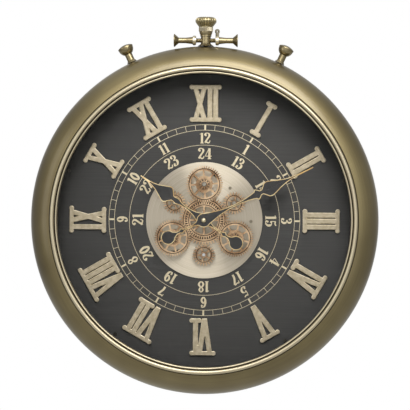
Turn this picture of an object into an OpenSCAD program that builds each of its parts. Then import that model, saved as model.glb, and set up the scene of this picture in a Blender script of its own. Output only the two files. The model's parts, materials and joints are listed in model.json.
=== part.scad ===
// A round wall clock in the style of a pocket watch, with turning gears at its centre.
// In the modules x is right, y is up and z is the height above the wall, as seen from the front.
// The finished clock is stood upright, so it faces -Y and the wall is the plane y = 0.

/* [Case] */
// Outer diameter of the case at its widest
case_d = 460; // [450:5:500]
// Gap between the wall and the rear of the roll
roll_lift = 4; // [3:0.5:6]
// Height of the top of the roll above the body of the bezel
roll_over = 2; // [1:0.1:3]
// Width of the roll from its widest to the groove beside the bezel
roll_w = 28; // [27:0.5:30]
// Thickness of the case metal
case_wall = 2; // [1.6:0.1:2.4]
// Width of the rear rim that lies on the wall
rim_w = 5; // [4:0.5:6]
// Height of the rebate for the back cover above the wall
rebate_z = 6.5; // [6.3:0.1:6.8]
// Width of the flange that the glass and the back cover sit on
seat_w = 8.5; // [7.5:0.5:9]

/* [Bezel and glass] */
// Width of the bezel ring
bezel_w = 9.5; // [9.1:0.1:10]
// Height of the flat body of the bezel ring
bezel_h = 6; // [5:0.5:6.5]
// Radius of the round bead on the bezel
bead_r = 3.6; // [3:0.1:3.8]
// Radius of the rounded inner lip
lip_r = 1; // [0.8:0.1:1.1]
// Height of the inner lip above the body of the bezel
lip_h = 1.2; // [0.8:0.1:2]
// Thickness of the glass
glass_t = 3; // [2:0.5:3]
// Thickness of the rubber ring under the glass
gasket_t = 1; // [0.8:0.1:1.5]
// Width of the rubber ring under the glass
gasket_w = 6; // [4:0.5:7]

/* [Dial] */
// Thickness of the dial plate
dial_t = 2; // [1.5:0.1:2.2]
// Wall of the ring that holds the dial
dial_ring_wall = 2; // [1.5:0.1:2.5]
// Radius of the five pillars that the dial is screwed to
pillar_r = 4.5; // [4:0.1:5]
// Distance from the dial's edge to the middle of a pillar
pillar_in = 6.4; // [6:0.1:7]
// Radius of the bright centre plate
plate_r = 77; // [76:0.5:82]
// Thickness of the centre plate
plate_t = 1.5; // [1:0.1:1.6]
// Distance from the centre plate's edge to the outer of its two screws
plate_screw_in = 15.2; // [12:0.1:18]

/* [Numerals] */
// Height of a numeral from its foot to its top
numeral_h = 48.8; // [44:0.2:50]
// Thickness of a numeral
numeral_t = 3; // [2:0.1:4]
// Distance from the dial's edge to the top of a numeral
numeral_in = 18.8; // [17:0.2:22]
// Width of an upright stroke
stroke_w = 6.6; // [6:0.1:6.9]
// Distance between two upright strokes
stroke_pitch = 7.6; // [7.2:0.1:8]
// Thickness of the bars at the top and the foot
bar_t = 5.6; // [5:0.1:6]
// Length of a bar beyond the middle of its outermost stroke
bar_over = 7.6; // [7:0.1:8]

/* [Hands] */
// Distance that the minute hand reaches past the feet of the numerals
minute_over = 29; // [20:0.5:34]
// Distance from the centre to the tip of the hour hand
hour_reach = 101.7; // [96:0.5:110]
// Half of the greatest width of the minute hand's spade
minute_spade = 10.2; // [9:0.1:11]
// Half of the greatest width of the hour hand's spade
hour_spade = 11.3; // [10:0.1:12]
// Thickness of a hand
hand_t = 1.5; // [1:0.1:1.8]
// Gap between the bushing and the boss of the hour hand
hour_gap = 0.8; // [0.6:0.1:1.5]
// Gap between the hour hand and the boss of the minute hand
minute_gap = 0.5; // [0.4:0.1:1.5]
// Gap between the cap on the hands and the glass
glass_gap = 1; // [0.8:0.1:4]
// Radius of the hub of the minute hand
minute_hub_r = 9.2; // [8.6:0.1:9.6]
// Radius of the hub of the hour hand
hour_hub_r = 8.2; // [7.6:0.1:9]
// Distance from the centre to the middle of the disc on a hand's tail
tail_reach = 51.9; // [49:0.1:54]
// Radius of the disc on a hand's tail
tail_r = 9.2; // [8.5:0.1:10]
// Radius of the round cap on the hands
cap_r = 3.1; // [3:0.1:3.6]
// Clock angle of the minute hand at rest
minute_angle = 63.7; // [0:0.1:360]
// Clock angle of the hour hand at rest
hour_angle = 304.85; // [0:0.05:360]

/* [Gears] */
// Tooth module of the front pair of wheels
front_module = 1; // [0.98:0.01:1.02]
// Tooth module of the rear pair of wheels
rear_module = 1.25; // [1.22:0.01:1.27]
// Thickness of a wheel
wheel_t = 2.5; // [2:0.1:3]
// Gap between the centre plate and the rear wheels
rear_wheel_gap = 3.5; // [3:0.1:5]
// Gap between the rear wheels and the front wheels
front_wheel_gap = 2.5; // [2:0.1:4]
// Width of the rim of a large wheel
rim_large = 3.6; // [3:0.1:4.5]
// Width of the rim of a small wheel
rim_small = 2.6; // [2:0.1:3]
// Width of a spoke of a large wheel
spoke_w = 2.4; // [2:0.1:3]
// Radius of the hub of a satellite wheel
hub_r = 4; // [3.8:0.1:4.4]
// Radius of the posts that the satellites turn on
post_r = 2; // [1.8:0.1:2.2]
// Radius of the hub of the centre wheel
centre_hub_r = 7; // [6.6:0.1:7.6]

/* [Crown and pushers] */
// Radius of the stem of the crown
stem_r = 6.6; // [6:0.1:7]
// Radius of the flared foot of the stem
foot_r = 11; // [10:0.1:11.5]
// Height of the flared foot of the stem and of the pushers
foot_h = 3.2; // [2.5:0.1:4]
// Radius of the bowl on the stem
bowl_r = 8.7; // [8:0.1:9]
// Height of the brim of the bowl above the case
bowl_up = 19.3; // [18.5:0.1:20.5]
// Height of the knurled band between the bowl and the knob
band_h = 5.7; // [5:0.1:6.5]
// Greatest radius of the fluted knob
knob_r = 14; // [13.4:0.1:14.6]
// Height of the knob
knob_h = 13.1; // [12.4:0.1:14]
// Radius of the rounded rim of the knob
knob_rim_r = 4.7; // [4.2:0.1:5]
// Number of flutes round the knob
flutes = 22; // [16:1:28]
// Radius of a flute
flute_r = 1; // [0.8:0.1:1.1]
// Height of the middle of the cross bar above the case
bar_up = 7.6; // [7.4:0.1:8.4]
// Radius of the threaded rod through the stem
rod_r = 3; // [2.6:0.1:3.2]
// Half of the length of the cross bar
bar_half = 42.3; // [40:0.1:46]
// Radius of the trumpet end of the bar
trumpet_r = 8.6; // [8:0.1:9]
// Length of the trumpet end
trumpet_h = 6.5; // [5.5:0.1:8]
// Radius of the tube of the bar
tube_r = 3.7; // [3.5:0.1:4]
// Radius of the collars on the bar
collar_r = 6.4; // [6:0.1:6.8]
// Width of a collar
collar_w = 4.6; // [4:0.1:5]
// Distance from the stem's middle to the middle of a collar
collar_at = 15.2; // [14.5:0.1:16]
// Height of the eyelet's hole above its collar's middle
eyelet_h = 12; // [11:0.1:13]
// Width of the eyelet
eyelet_w = 6.6; // [6:0.1:7.4]
// Thickness of the eyelet
eyelet_t = 2.2; // [1.8:0.1:2.6]
// Radius of the hole in the eyelet
eyelet_hole_r = 1.4; // [1:0.1:1.6]
// Clock angle of a pusher from the crown
pusher_angle = 25.1; // [22:0.1:28]
// Height of a pusher above the case
pusher_h = 24.8; // [23:0.2:27]
// Height of the cap of a pusher
pusher_cap_h = 14.2; // [13:0.1:15]
// Height of the domed top of the cap
pusher_crown = 2.9; // [2:0.1:3.5]
// Thickness of the lip round the cap
pusher_lip = 1.8; // [1.4:0.1:2.2]
// Greatest radius of the cap of a pusher
pusher_cap_r = 10.2; // [9.5:0.1:10.6]
// Radius of the neck of a pusher
pusher_neck_r = 4.9; // [4.4:0.1:5.2]
// Radius of the foot of a pusher
pusher_foot_r = 6.9; // [6.4:0.1:7.2]

/* [Back] */
// Thickness of the back cover
cover_t = 1.5; // [1.2:0.1:1.8]
// Distance from the back cover's edge to the middle of the keyhole
keyhole_in = 43.4; // [40:0.2:50]
// Radius of the round part of the keyhole
keyhole_r = 5.5; // [5:0.1:6]
// Radius of the narrow part of the keyhole
keyslot_r = 2.6; // [2.2:0.1:3]
// Length of the narrow part of the keyhole
keyslot_l = 12; // [10:0.5:13]
// Width of the hanger plate
hanger_w = 64; // [60:1:80]
// Height of the hanger plate
hanger_h = 34; // [32:1:38]
// Thickness of the hanger plate
hanger_t = 1.5; // [1.2:0.1:2]

/* [Movement] */
// Gap between the back cover and the movement
move_gap = 2.5; // [2:0.1:3.5]
// Thickness of the plastic walls
shell_t = 1.2; // [1:0.1:1.3]
// Tooth module of the setting wheels
set_module = 0.5; // [0.49:0.01:0.51]
// Radius of the knob that sets the hands
set_knob_r = 6.5; // [5.5:0.1:7]
// Outer radius of the threaded bushing
bushing_r = 4.5; // [4.4:0.1:4.8]
// Outer radius of the hour tube
hour_tube_r = 3.3; // [3.2:0.1:3.4]
// Radius of the minute shaft
minute_shaft_r = 2; // [1.9:0.1:2.2]

/* [Gear drive] */
// Width of the gear drive
drive_w = 66; // [65:0.5:70]
// Room between the motor and the wall of the cells' bay
motor_room = 5; // [4:0.2:8]
// Tooth module of the output wheel
output_module = 0.7; // [0.68:0.01:0.7]
// Tooth module of the reduction wheel
reduction_module = 0.6; // [0.59:0.01:0.6]
// Radius of the motor
motor_r = 10; // [9:0.1:10.2]
// Radius of a cell
cell_r = 7; // [6.8:0.05:7.1]
// Length of a cell
cell_l = 50; // [48:0.5:52]
// Room at each end of a cell
cell_end = 1.8; // [1.5:0.1:2.2]
// Travel of the battery door
door_travel = 26; // [15:1:27]
// Travel of the slide switch
switch_travel = 4; // [3:0.5:5]

/* [Hidden] */
$fn = 96;
// Overrun of every cut past the face it opens
over = 1;
// Radial gap of a shaft in its bore
run_gap = 0.06;
// Gap between a loose piece and what holds it
gap = 0.3;

// Heights above the wall, from the back cover up to the top of the roll
boss_h = 2.2;
nut_h = 4;
hand_boss_h = 2.5;
cap_h = 4;
move_z = rebate_z + move_gap;
dial_rear = move_z + 2 * (shell_t + gap + cell_r);
dial_z = dial_rear + dial_t;
plate_front = dial_z + plate_t;
rear_wheel_z = plate_front + rear_wheel_gap;
front_wheel_z = rear_wheel_z + wheel_t + front_wheel_gap;
bushing_top = front_wheel_z + wheel_t + boss_h + nut_h;
hour_z = bushing_top + hour_gap + hand_boss_h;
minute_z = hour_z + hand_t + minute_gap + hand_boss_h;
seat_z = minute_z + hand_t + cap_h + glass_gap - gasket_t;
bezel_z = seat_z + gasket_t + glass_t;
case_front = bezel_z + bezel_h + roll_over;

// Case section
case_r = case_d / 2;
roll_r = (case_front - roll_lift) / 2;
roll_x = case_r - roll_r;
roll_z = case_front - roll_r;
groove_r = case_r - roll_w;
rim_r = groove_r + case_wall;
seat_t = 1.5;
pad_up = 0.2;
pad_over = 0.2;
pad_deep = 8;
crown_stud_r = 3;
pusher_stud_r = 2.2;
pusher_flat = 0.1;
knob_up = bowl_up + band_h;
band_over = 0.3;
bead_over = 0.8;
crown_pin_r = 2;
crown_pin_h = 6;
knob_dish = 2;
flute_foot_share = 0.3;
flute_out_share = 0.3;
flute_top_turn = 100;
rod_grip = 12;
tube_swell = 1.1;
trumpet_lip = 0.9;
collar_chamfer = 0.8;
eyelet_turn = 40;

// Dial and what carries it
dial_ring_r = groove_r - case_wall;
dial_r = dial_ring_r - dial_ring_wall - gap;
pillar_at = dial_r - pillar_in;
pillar_count = 5;
pillar_turn = 1.6;
screw_r = 1.3;
screw_l = 8;
screw_head_r = 2.4;
screw_head_h = 1.4;
screw_slot_w = 0.7;
screw_slot_deep = 0.6;
plate_screw_r = 1;
plate_screw_head_r = 1.7;
plate_screw_head_h = 0.8;
plate_screw_out = 7.4;
plate_screw_at = plate_r - plate_screw_in - plate_screw_out;
plate_screw_turn = 38.4;
plate_screw_next_turn = 52.8;

// Numerals: each stroke runs from a top place to a foot place, in shares of the stroke pitch
numeral_top = dial_r - numeral_in;
numeral_foot = numeral_top - numeral_h;
bar_bulge = 0.35;
one_shares = [[0, 0]];
two_shares = [[-0.52, -0.52], [0.52, 0.52]];
three_shares = [[-1.04, -1.04], [0, 0], [1.04, 1.04]];
four_shares = [[-1.38, -1.38], [-0.43, 0.32], [1.24, 0.32]];
five_shares = [[-0.88, 0], [0.88, 0]];
six_shares = [[-1.14, -0.2], [0.62, -0.2], [1.36, 1.36]];
seven_shares = [[-1.84, -0.88], [-0.1, -0.88], [0.82, 0.82], [1.84, 1.84]];
eight_shares = [[-2.2, -1.2], [-0.5, -1.2], [0.4, 0.4], [1.4, 1.4], [2.4, 2.4]];
nine_shares = [[-1.34, -1.34], [-0.2, 1.1], [1.3, -0.3]];
ten_shares = [[-0.88, 0.82], [0.88, -0.82]];
eleven_shares = [[-1.25, 0.3], [0.38, -1.2], [1.3, 1.3]];
twelve_shares = [[-1.74, -0.14], [-0.14, -1.66], [0.84, 0.84], [1.84, 1.84]];
// For each numeral: its strokes, then the first and last stroke that stand on the foot bar
NUMERALS = [
    [one_shares, 0, 0], [two_shares, 0, 1], [three_shares, 0, 2], [four_shares, 0, 0],
    [five_shares, 1, 0], [six_shares, 2, 2], [seven_shares, 2, 3], [eight_shares, 2, 4],
    [nine_shares, 0, 2], [ten_shares, 0, 1], [eleven_shares, 0, 2], [twelve_shares, 0, 3]
];

// Hands: half outlines from the tip down, as shares of the reach and of the spade's half width
minute_reach = numeral_foot + minute_over;
minute_outline_shares = [
    [1, 0.05], [0.86, 0.1], [0.79, 0.16], [0.75, 0.27], [0.69, 0.53], [0.645, 0.82], [0.606, 1],
    [0.578, 0.93], [0.558, 0.6], [0.539, 0.31], [0.522, 0.3], [0.505, 0.54], [0.487, 0.72],
    [0.473, 0.46], [0.437, 0.33], [0.396, 0.23], [0.347, 0.14], [0.272, 0.12], [0.223, 0.16],
    [0.173, 0.25], [0.124, 0.4], [0.066, 0.62], [0.02, 0.82]
];
hour_outline_shares = [
    [1, 0.06], [0.88, 0.11], [0.82, 0.17], [0.745, 0.35], [0.673, 0.66], [0.609, 0.94],
    [0.576, 1], [0.55, 0.88], [0.518, 0.53], [0.495, 0.3], [0.473, 0.28], [0.434, 0.37],
    [0.395, 0.27], [0.35, 0.16], [0.285, 0.12], [0.214, 0.17], [0.149, 0.28], [0.1, 0.46], [0.04, 0.65]
];
// The tail from the hub to its disc, as shares of the tail's reach and of the disc's radius
tail_outline_shares = [
    [0.1, 0.62], [0.2, 0.28], [0.3, 0.13], [0.5, 0.12], [0.56, 0.17], [0.62, 0.38], [0.68, 0.18],
    [0.76, 0.19], [0.86, 0.52], [1, 0.6]
];
hour_boss_r = 5.6;
minute_boss_r = 4;

// Gears: tooth counts, and one tooth as shares of the tooth's angle and of the module, -1 at its root
front_teeth = 48;
large_teeth = 47;
rear_teeth = 51;
small_teeth = 22;
tooth_shares = [
    [-0.28, -1], [-0.2, 0], [-0.15, 0.5], [-0.075, 0.95],
    [0.075, 0.95], [0.15, 0.5], [0.2, 0], [0.28, -1]
];
root_share = 1.15;
long_root_share = 2.1;
tip_share = 0.95;
large_at = (front_teeth + large_teeth) * front_module / 2;
small_at = (rear_teeth + small_teeth) * rear_module / 2;
step_turn = 120;
small_turn = 60;
groove_w = 1.1;
groove_deep = 0.5;
large_spokes = 8;
small_spokes = 5;
top_pinion_teeth = 10;
top_pinion_module = 1.15;
top_pinion_h = 3;
post_head_r = 3;
post_head_h = 1.4;
shoulder_r = 3.5;
hub_under = 1;
web_r = 11.4;

// Movement and motion work
set_teeth = 30;
cannon_teeth = 12;
motion_teeth = 36;
motion_pinion_teeth = 10;
hour_teeth = 40;
motion_at = (cannon_teeth + motion_teeth) * set_module / 2;
hour_module = 2 * motion_at / (motion_pinion_teeth + hour_teeth);
set_at = set_teeth * set_module;
wheel_small_t = 1.5;
well_gap = 0.6;
move_front = dial_rear - shell_t;
bushing_flange_r = 7;
bushing_flange_t = 1;
wheel_pitch = (move_front - bushing_flange_t - move_z - shell_t) / 3;
set_wheel_z = move_z + shell_t + (wheel_pitch - wheel_small_t) / 2;
cannon_z = set_wheel_z + wheel_pitch;
hour_wheel_z = cannon_z + wheel_pitch;
lower_nut_t = rear_wheel_z - plate_front - 2 * gap;
nut_r = 7.6;
set_shaft_r = 1.5;
set_knob_h = 3;
knob_grips = 12;
motion_post_r = 1;
cell_room = 1;
cell_bay = 2 * cell_r + cell_room;
bay_l = cell_l + 2 * cell_end;
move_w = bay_l + 2 * shell_t;
move_h = 2 * (tip_r(hour_teeth, hour_module) + well_gap + cell_bay + 2 * shell_t);
contact_t = 0.5;
contact_w = 9;
nub_r = 2.6;
nub_h = 1.2;

// Gear drive below the movement
output_teeth = 32;
output_pinion_teeth = 10;
reduction_teeth = 36;
motor_pinion_teeth = 10;
reduction_at = (output_teeth + output_pinion_teeth) * output_module / 2;
reduction_turn = 125;
motor_at = (reduction_teeth + motor_pinion_teeth) * reduction_module / 2;
motor_turn = 240;
motor_y = -small_at + reduction_at * cos(reduction_turn) + motor_at * cos(motor_turn);
drive_top = tip_r(output_teeth, output_module) + well_gap + shell_t - small_at;
drive_mid = motor_y - motor_r - motor_room - shell_t;
drive_foot = drive_mid - bay_l - shell_t;
drive_wheel_t = 1.6;
wheel_gap = 0.6;
output_wheel_z = move_front - drive_wheel_t - wheel_gap;
reduction_wheel_z = output_wheel_z - drive_wheel_t - wheel_gap;
motor_front = reduction_wheel_z - 2 * wheel_gap;
motor_lip = 1;
motor_shaft_r = 0.8;
motor_shaft_l = 4;
cell_pitch = 2 * (cell_r + cell_room);
switch_w = 7;
switch_l = 9;
switch_up = 2;
switch_bay = 13;
bay_split = drive_w / 2 - switch_bay;
door_lip = 1.6;
door_grips = 4;
grip_w = 1.5;
grip_pitch = 3;
grip_up = 0.5;
finger_room = 12;

// Back
back_cover_r = rim_r - 2 * gap;
keyhole_y = back_cover_r - keyhole_in;
back_z = rebate_z - cover_t;
rivet_r = 2;
rivet_head_r = 3.2;
rivet_head_h = 0.9;
window_gap = 2;
grips_foot = (drive_foot + drive_mid - grip_pitch * door_grips) / 2;
window_foot = grips_foot - door_travel - finger_room;

// Stands a piece upright, so that it hangs on the wall
module upright() { rotate([90, 0, 0]) children(); }

// Moves a piece out from the centre to a place on the dial, given as a clock angle
module at_clock(angle, out) { rotate([0, 0, -angle]) translate([0, out, 0]) children(); }

// A round disc or post between two heights
module disc(r, z0, z1) { translate([0, 0, z0]) cylinder(r = r, h = z1 - z0); }

// A flat ring or tube between two heights
module ring(r_out, r_in, z0, z1) {
    difference() {
        disc(r_out, z0, z1);
        disc(r_in, z0 - over, z1 + over);
    }
}

// A block between two corners
module block(x0, x1, y0, y1, z0, z1) {
    translate([x0, y0, z0]) cube([x1 - x0, y1 - y0, z1 - z0]);
}

// A rectangle of the case's section between two radii and two heights
module section(r0, r1, z0, z1) { translate([r0, z0]) square([r1 - r0, z1 - z0]); }

// Turns what is built along z so that it stands out of the top of the case
module on_case(angle) {
    rotate([0, 0, -angle]) translate([0, case_r + pad_up, roll_z]) rotate([-90, 0, 0]) children();
}

// Hexagonal nut with a hole, across-corner radius r
module nut(r, hole_r, h) {
    difference() {
        cylinder(r = r, h = h, $fn = 6);
        translate([0, 0, -over]) cylinder(r = hole_r, h = h + 2 * over);
    }
}

// Screw with its head at z = 0 pointing up and its shank below
module screw(shank_r, shank_l, head_r, head_h) {
    difference() {
        cylinder(r = head_r, h = head_h);
        block(-head_r - over, head_r + over, -screw_slot_w / 2, screw_slot_w / 2,
            head_h - screw_slot_deep, head_h + over);
    }
    translate([0, 0, -shank_l]) cylinder(r = shank_r, h = shank_l);
}

// Outline of a toothed wheel with a tooth at the top
function gear_outline(teeth, mod, root) = [
    for (i = [0 : teeth - 1], p = tooth_shares)
        let (a = 360 / teeth * (i + p[0]), r = teeth * mod / 2 + mod * (p[1] < 0 ? root * p[1] : p[1]))
        [r * sin(a), r * cos(a)]
];

// Clock turn of a wheel b, at clock angle theta from a wheel a, so that their teeth mesh
function mesh_turn(theta, teeth_a, turn_a, teeth_b) =
    theta + 180 - 360 / teeth_b * (0.5 - (theta - turn_a) * teeth_a / 360);

function root_r(teeth, mod) = teeth * mod / 2 - long_root_share * mod;
function tip_r(teeth, mod) = teeth * mod / 2 + tip_share * mod;

// Solid toothed wheel between two heights
module toothed(teeth, mod, z0, z1, root = root_share) {
    translate([0, 0, z0]) linear_extrude(z1 - z0) polygon(gear_outline(teeth, mod, root));
}

// Wheel with long teeth, a rim, straight spokes and an open middle for its hub
module spoked(teeth, mod, z0, z1, rim, inner_r, spokes, width) {
    rim_in = root_r(teeth, mod) - rim;
    difference() {
        toothed(teeth, mod, z0, z1, long_root_share);
        disc(rim_in, z0 - over, z1 + over);
    }
    for (i = [0 : spokes - 1])
        rotate([0, 0, -360 / spokes * i])
            block(-width / 2, width / 2, inner_r - width, rim_in + width / 2, z0, z1);
}

// Case

module case_shell() {
    front_disc = roll_r - case_wall;
    color("#6d6141") upright() difference() {
        union() {
            rotate_extrude() union() {
                difference() {
                    intersection() {
                        translate([roll_x, roll_z]) circle(roll_r);
                        union() {
                            section(groove_r, case_r + over, roll_z, case_front + over);
                            section(rim_r, case_r + over, 0, roll_z + over);
                        }
                    }
                    translate([roll_x, roll_z]) circle(front_disc);
                }
                intersection() {
                    translate([roll_x, roll_z]) circle(roll_r);
                    section(groove_r, rim_r, seat_z - seat_t, case_front);
                }
                section(groove_r - seat_w, rim_r, seat_z - seat_t, seat_z);
                section(rim_r, rim_r + rim_w, 0, rebate_z + case_wall);
                section(groove_r - case_wall / 2, rim_r + rim_w, rebate_z, rebate_z + case_wall);
            }
            on_case(0) disc(foot_r + pad_over, -pad_deep, 0);
            for (a = [-pusher_angle, pusher_angle])
                on_case(a) disc(pusher_foot_r + pad_over, -pad_deep, 0);
        }
        on_case(0) disc(crown_stud_r + run_gap, -pad_deep - over, over);
        for (a = [-pusher_angle, pusher_angle])
            on_case(a) disc(pusher_stud_r + run_gap, -pad_deep - over, over);
    }
}

module dial_ring() {
    color("#3a3835") upright() {
        ring(dial_ring_r, dial_ring_r - dial_ring_wall, rebate_z, seat_z - seat_t);
        for (i = [0 : pillar_count - 1])
            at_clock(pillar_turn + 360 / pillar_count * i, pillar_at) difference() {
                union() {
                    disc(pillar_r, rebate_z, dial_rear);
                    block(-pillar_r / 2, pillar_r / 2, 0, pillar_in + dial_ring_wall / 2 + gap,
                        rebate_z + gap, dial_rear);
                }
                disc(screw_r, dial_rear - screw_l - gap, dial_rear + over);
                disc(screw_r, rebate_z - over, rebate_z - cover_t + screw_l + gap);
            }
    }
}

module bezel_ring() {
    r_out = groove_r - gap;
    r_in = r_out - bezel_w;
    z1 = bezel_z + bezel_h;
    color("#9d8e68") upright() rotate_extrude() union() {
        section(r_in, r_out, bezel_z, z1);
        translate([r_out - bead_r - gap, z1 + bead_r / 2]) circle(bead_r);
        section(r_in, r_in + 2 * lip_r, z1 - over, z1 + lip_h);
        translate([r_in + lip_r, z1 + lip_h]) circle(lip_r);
    }
}

module glass() {
    color("#dfe8ea", 0.25) upright()
        disc(groove_r - 2 * gap, seat_z + gasket_t, bezel_z);
}

module glass_gasket() {
    r_out = groove_r - 2 * gap;
    color("#1d1d1c") upright() ring(r_out, r_out - gasket_w, seat_z, seat_z + gasket_t);
}

// Dial

module dial_plate() {
    color("#403e3a") upright() difference() {
        disc(dial_r, dial_rear, dial_z);
        disc(bushing_r + run_gap, dial_rear - over, dial_z + over);
        at_clock(3 * small_turn, small_at) disc(post_r + gap, dial_rear - over, dial_z + over);
        for (i = [0 : pillar_count - 1])
            at_clock(pillar_turn + 360 / pillar_count * i, pillar_at)
                disc(screw_r + gap, dial_rear - over, dial_z + over);
        plate_holes(plate_screw_r);
        post_holes();
    }
}

// Holes of the two small screws of the centre plate
module plate_holes(r) {
    for (i = [0, 1])
        at_clock(plate_screw_turn + plate_screw_next_turn * i, plate_screw_at + plate_screw_out * i)
            disc(r, dial_rear - over, plate_front + over);
}

// Holes that the five posts are riveted into
module post_holes() {
    for (i = [0 : 2]) {
        at_clock(step_turn * i, large_at) disc(post_r, dial_rear - over, plate_front + over);
        if (i != 1)
            at_clock(small_turn + step_turn * i, small_at)
                disc(post_r, dial_rear - over, plate_front + over);
    }
}

module centre_plate() {
    color("#cfc9b9") upright() difference() {
        disc(plate_r, dial_z, plate_front);
        disc(bushing_r + run_gap, dial_rear - over, plate_front + over);
        at_clock(3 * small_turn, small_at) disc(post_r + gap, dial_z - over, plate_front + over);
        plate_holes(plate_screw_r);
        post_holes();
    }
}

// Bar of a numeral with round, slightly bulging ends
module numeral_bar(x0, x1, y) {
    block(x0, x1, y - bar_t / 2, y + bar_t / 2, 0, numeral_t);
    for (x = [x0, x1])
        translate([x, y, 0]) disc(bar_t / 2 + bar_bulge, 0, numeral_t);
}

module numeral(n) {
    strokes = NUMERALS[n - 1][0];
    first = NUMERALS[n - 1][1];
    last = NUMERALS[n - 1][2];
    tops = [for (s = strokes) s[0] * stroke_pitch];
    feet = [for (s = strokes) s[1] * stroke_pitch];
    standing = [for (i = [first : 1 : last]) feet[i]];
    reach = bar_over - bar_t / 2;
    y0 = numeral_foot + bar_t / 2;
    y1 = numeral_top - bar_t / 2;
    color("#a89d88") upright() at_clock(30 * n, 0)
        translate([0, 0, dial_z]) union() {
            numeral_bar(min(tops) - reach, max(tops) + reach, y1);
            if (len(standing) > 0) numeral_bar(min(standing) - reach, max(standing) + reach, y0);
            for (i = [0 : len(strokes) - 1]) {
                foot_y = i >= first && i <= last ? y0 : numeral_foot;
                linear_extrude(numeral_t) polygon([
                    [tops[i] - stroke_w / 2, y1], [tops[i] + stroke_w / 2, y1],
                    [feet[i] + stroke_w / 2, foot_y], [feet[i] - stroke_w / 2, foot_y]
                ]);
            }
        }
}

module pillar_screws() {
    color("#55524b") upright()
        for (i = [0 : pillar_count - 1])
            at_clock(pillar_turn + 360 / pillar_count * i, pillar_at) {
                translate([0, 0, dial_z])
                    screw(screw_r, screw_l, screw_head_r, screw_head_h);
                translate([0, 0, back_z]) mirror([0, 0, 1])
                    screw(screw_r, screw_l, screw_head_r, screw_head_h);
            }
}

module plate_screws() {
    color("#4b4740") upright()
        for (i = [0, 1])
            at_clock(plate_screw_turn + plate_screw_next_turn * i, plate_screw_at + plate_screw_out * i)
                translate([0, 0, plate_front])
                    screw(plate_screw_r, plate_t + dial_t, plate_screw_head_r, plate_screw_head_h);
}

// Back

// Keyhole in plan: a round hole with a narrow slot above it
module keyhole(round_r, slot_r, z0, z1) {
    translate([0, keyhole_y, 0]) disc(round_r, z0, z1);
    block(-slot_r, slot_r, keyhole_y, keyhole_y + keyslot_l, z0, z1);
    translate([0, keyhole_y + keyslot_l, 0]) disc(slot_r, z0, z1);
}

module back_cover() {
    color("#2b2a28") upright() difference() {
        disc(back_cover_r, back_z, rebate_z);
        for (i = [0 : pillar_count - 1])
            at_clock(pillar_turn + 360 / pillar_count * i, pillar_at)
                disc(screw_r + gap, back_z - over, rebate_z + over);
        block(-move_w / 2 - window_gap, move_w / 2 + window_gap, -move_h / 2 - window_gap,
            move_h / 2 + window_gap, back_z - over, rebate_z + over);
        block(-drive_w / 2 - window_gap, drive_w / 2 + window_gap, window_foot,
            drive_top + window_gap, back_z - over, rebate_z + over);
        keyhole(keyhole_r + 2 * window_gap, keyslot_r + 2 * window_gap, back_z - over, rebate_z + over);
        rivet_holes();
    }
}

module rivet_holes() {
    for (x = [-1, 1])
        translate([x * (hanger_w / 2 - 2 * rivet_head_r), keyhole_y, 0])
            disc(rivet_r, back_z - hanger_t - over, rebate_z + over);
}

module hanger_plate() {
    y_mid = keyhole_y + keyslot_l / 2;
    color("#8d8f92") upright() difference() {
        block(-hanger_w / 2, hanger_w / 2, y_mid - hanger_h / 2, y_mid + hanger_h / 2,
            back_z - hanger_t, back_z);
        keyhole(keyhole_r, keyslot_r, back_z - hanger_t - over, back_z + over);
        rivet_holes();
    }
}

module hanger_rivets() {
    color("#b4b6b8") upright()
        for (x = [-1, 1])
            translate([x * (hanger_w / 2 - 2 * rivet_head_r), keyhole_y, 0]) {
                disc(rivet_r, back_z - hanger_t, rebate_z);
                disc(rivet_head_r, back_z - hanger_t - rivet_head_h, back_z - hanger_t);
                disc(rivet_head_r, rebate_z, rebate_z + rivet_head_h);
            }
}

// Crown, cross bar and pushers

module crown_stem() {
    bead_up = bowl_up - sqrt(bowl_r * bowl_r - stem_r * stem_r);
    color("#6f6344") upright() on_case(0) difference() {
        union() {
            disc(crown_stud_r, -pad_deep - nut_h - over, over);
            cylinder(r1 = foot_r, r2 = stem_r, h = foot_h);
            cylinder(r = stem_r, h = bowl_up);
            disc(stem_r + bead_over, bead_up - bead_over, bead_up + bead_over);
            intersection() {
                translate([0, 0, bowl_up]) sphere(bowl_r);
                disc(bowl_r + over, bowl_up - bowl_r - over, bowl_up + over);
            }
            disc(bowl_r + band_over, bowl_up, knob_up);
            cylinder(r = crown_pin_r, h = knob_up + crown_pin_h);
        }
        translate([-foot_r - over, 0, bar_up]) rotate([0, 90, 0])
            cylinder(r = rod_r + run_gap, h = 2 * (foot_r + over));
    }
}

// Conical below, with a rounded rim that the cone runs into smoothly
module crown_knob() {
    rim_at = knob_r - knob_rim_r;
    rim_z = knob_h - knob_rim_r;
    far = norm([rim_at - bowl_r, rim_z]);
    side_turn = atan2(rim_z, rim_at - bowl_r) - asin(knob_rim_r / far);
    side_l = sqrt(far * far - knob_rim_r * knob_rim_r);
    flute_at = knob_rim_r + flute_r * flute_out_share;
    color("#776a48") upright() on_case(0) translate([0, 0, knob_up]) difference() {
        union() {
            cylinder(r1 = bowl_r, r2 = bowl_r + side_l * cos(side_turn), h = side_l * sin(side_turn));
            disc(rim_at, 0, knob_h - knob_dish);
            rotate_extrude() translate([rim_at, rim_z]) circle(knob_rim_r);
        }
        disc(crown_pin_r + run_gap, -over, crown_pin_h + gap);
        for (i = [0 : flutes - 1])
            rotate([0, 0, 360 / flutes * i]) translate([rim_at, 0, rim_z]) rotate([90, 0, 0]) {
                rotate([0, 0, side_turn - 90]) rotate_extrude(angle = flute_top_turn + 90 - side_turn)
                    translate([flute_at, 0]) circle(flute_r);
                rotate([0, 0, side_turn - 90]) translate([flute_at, 0, 0]) rotate([90, 0, 0])
                    cylinder(r = flute_r, h = side_l * (1 - flute_foot_share));
            }
    }
}

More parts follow.
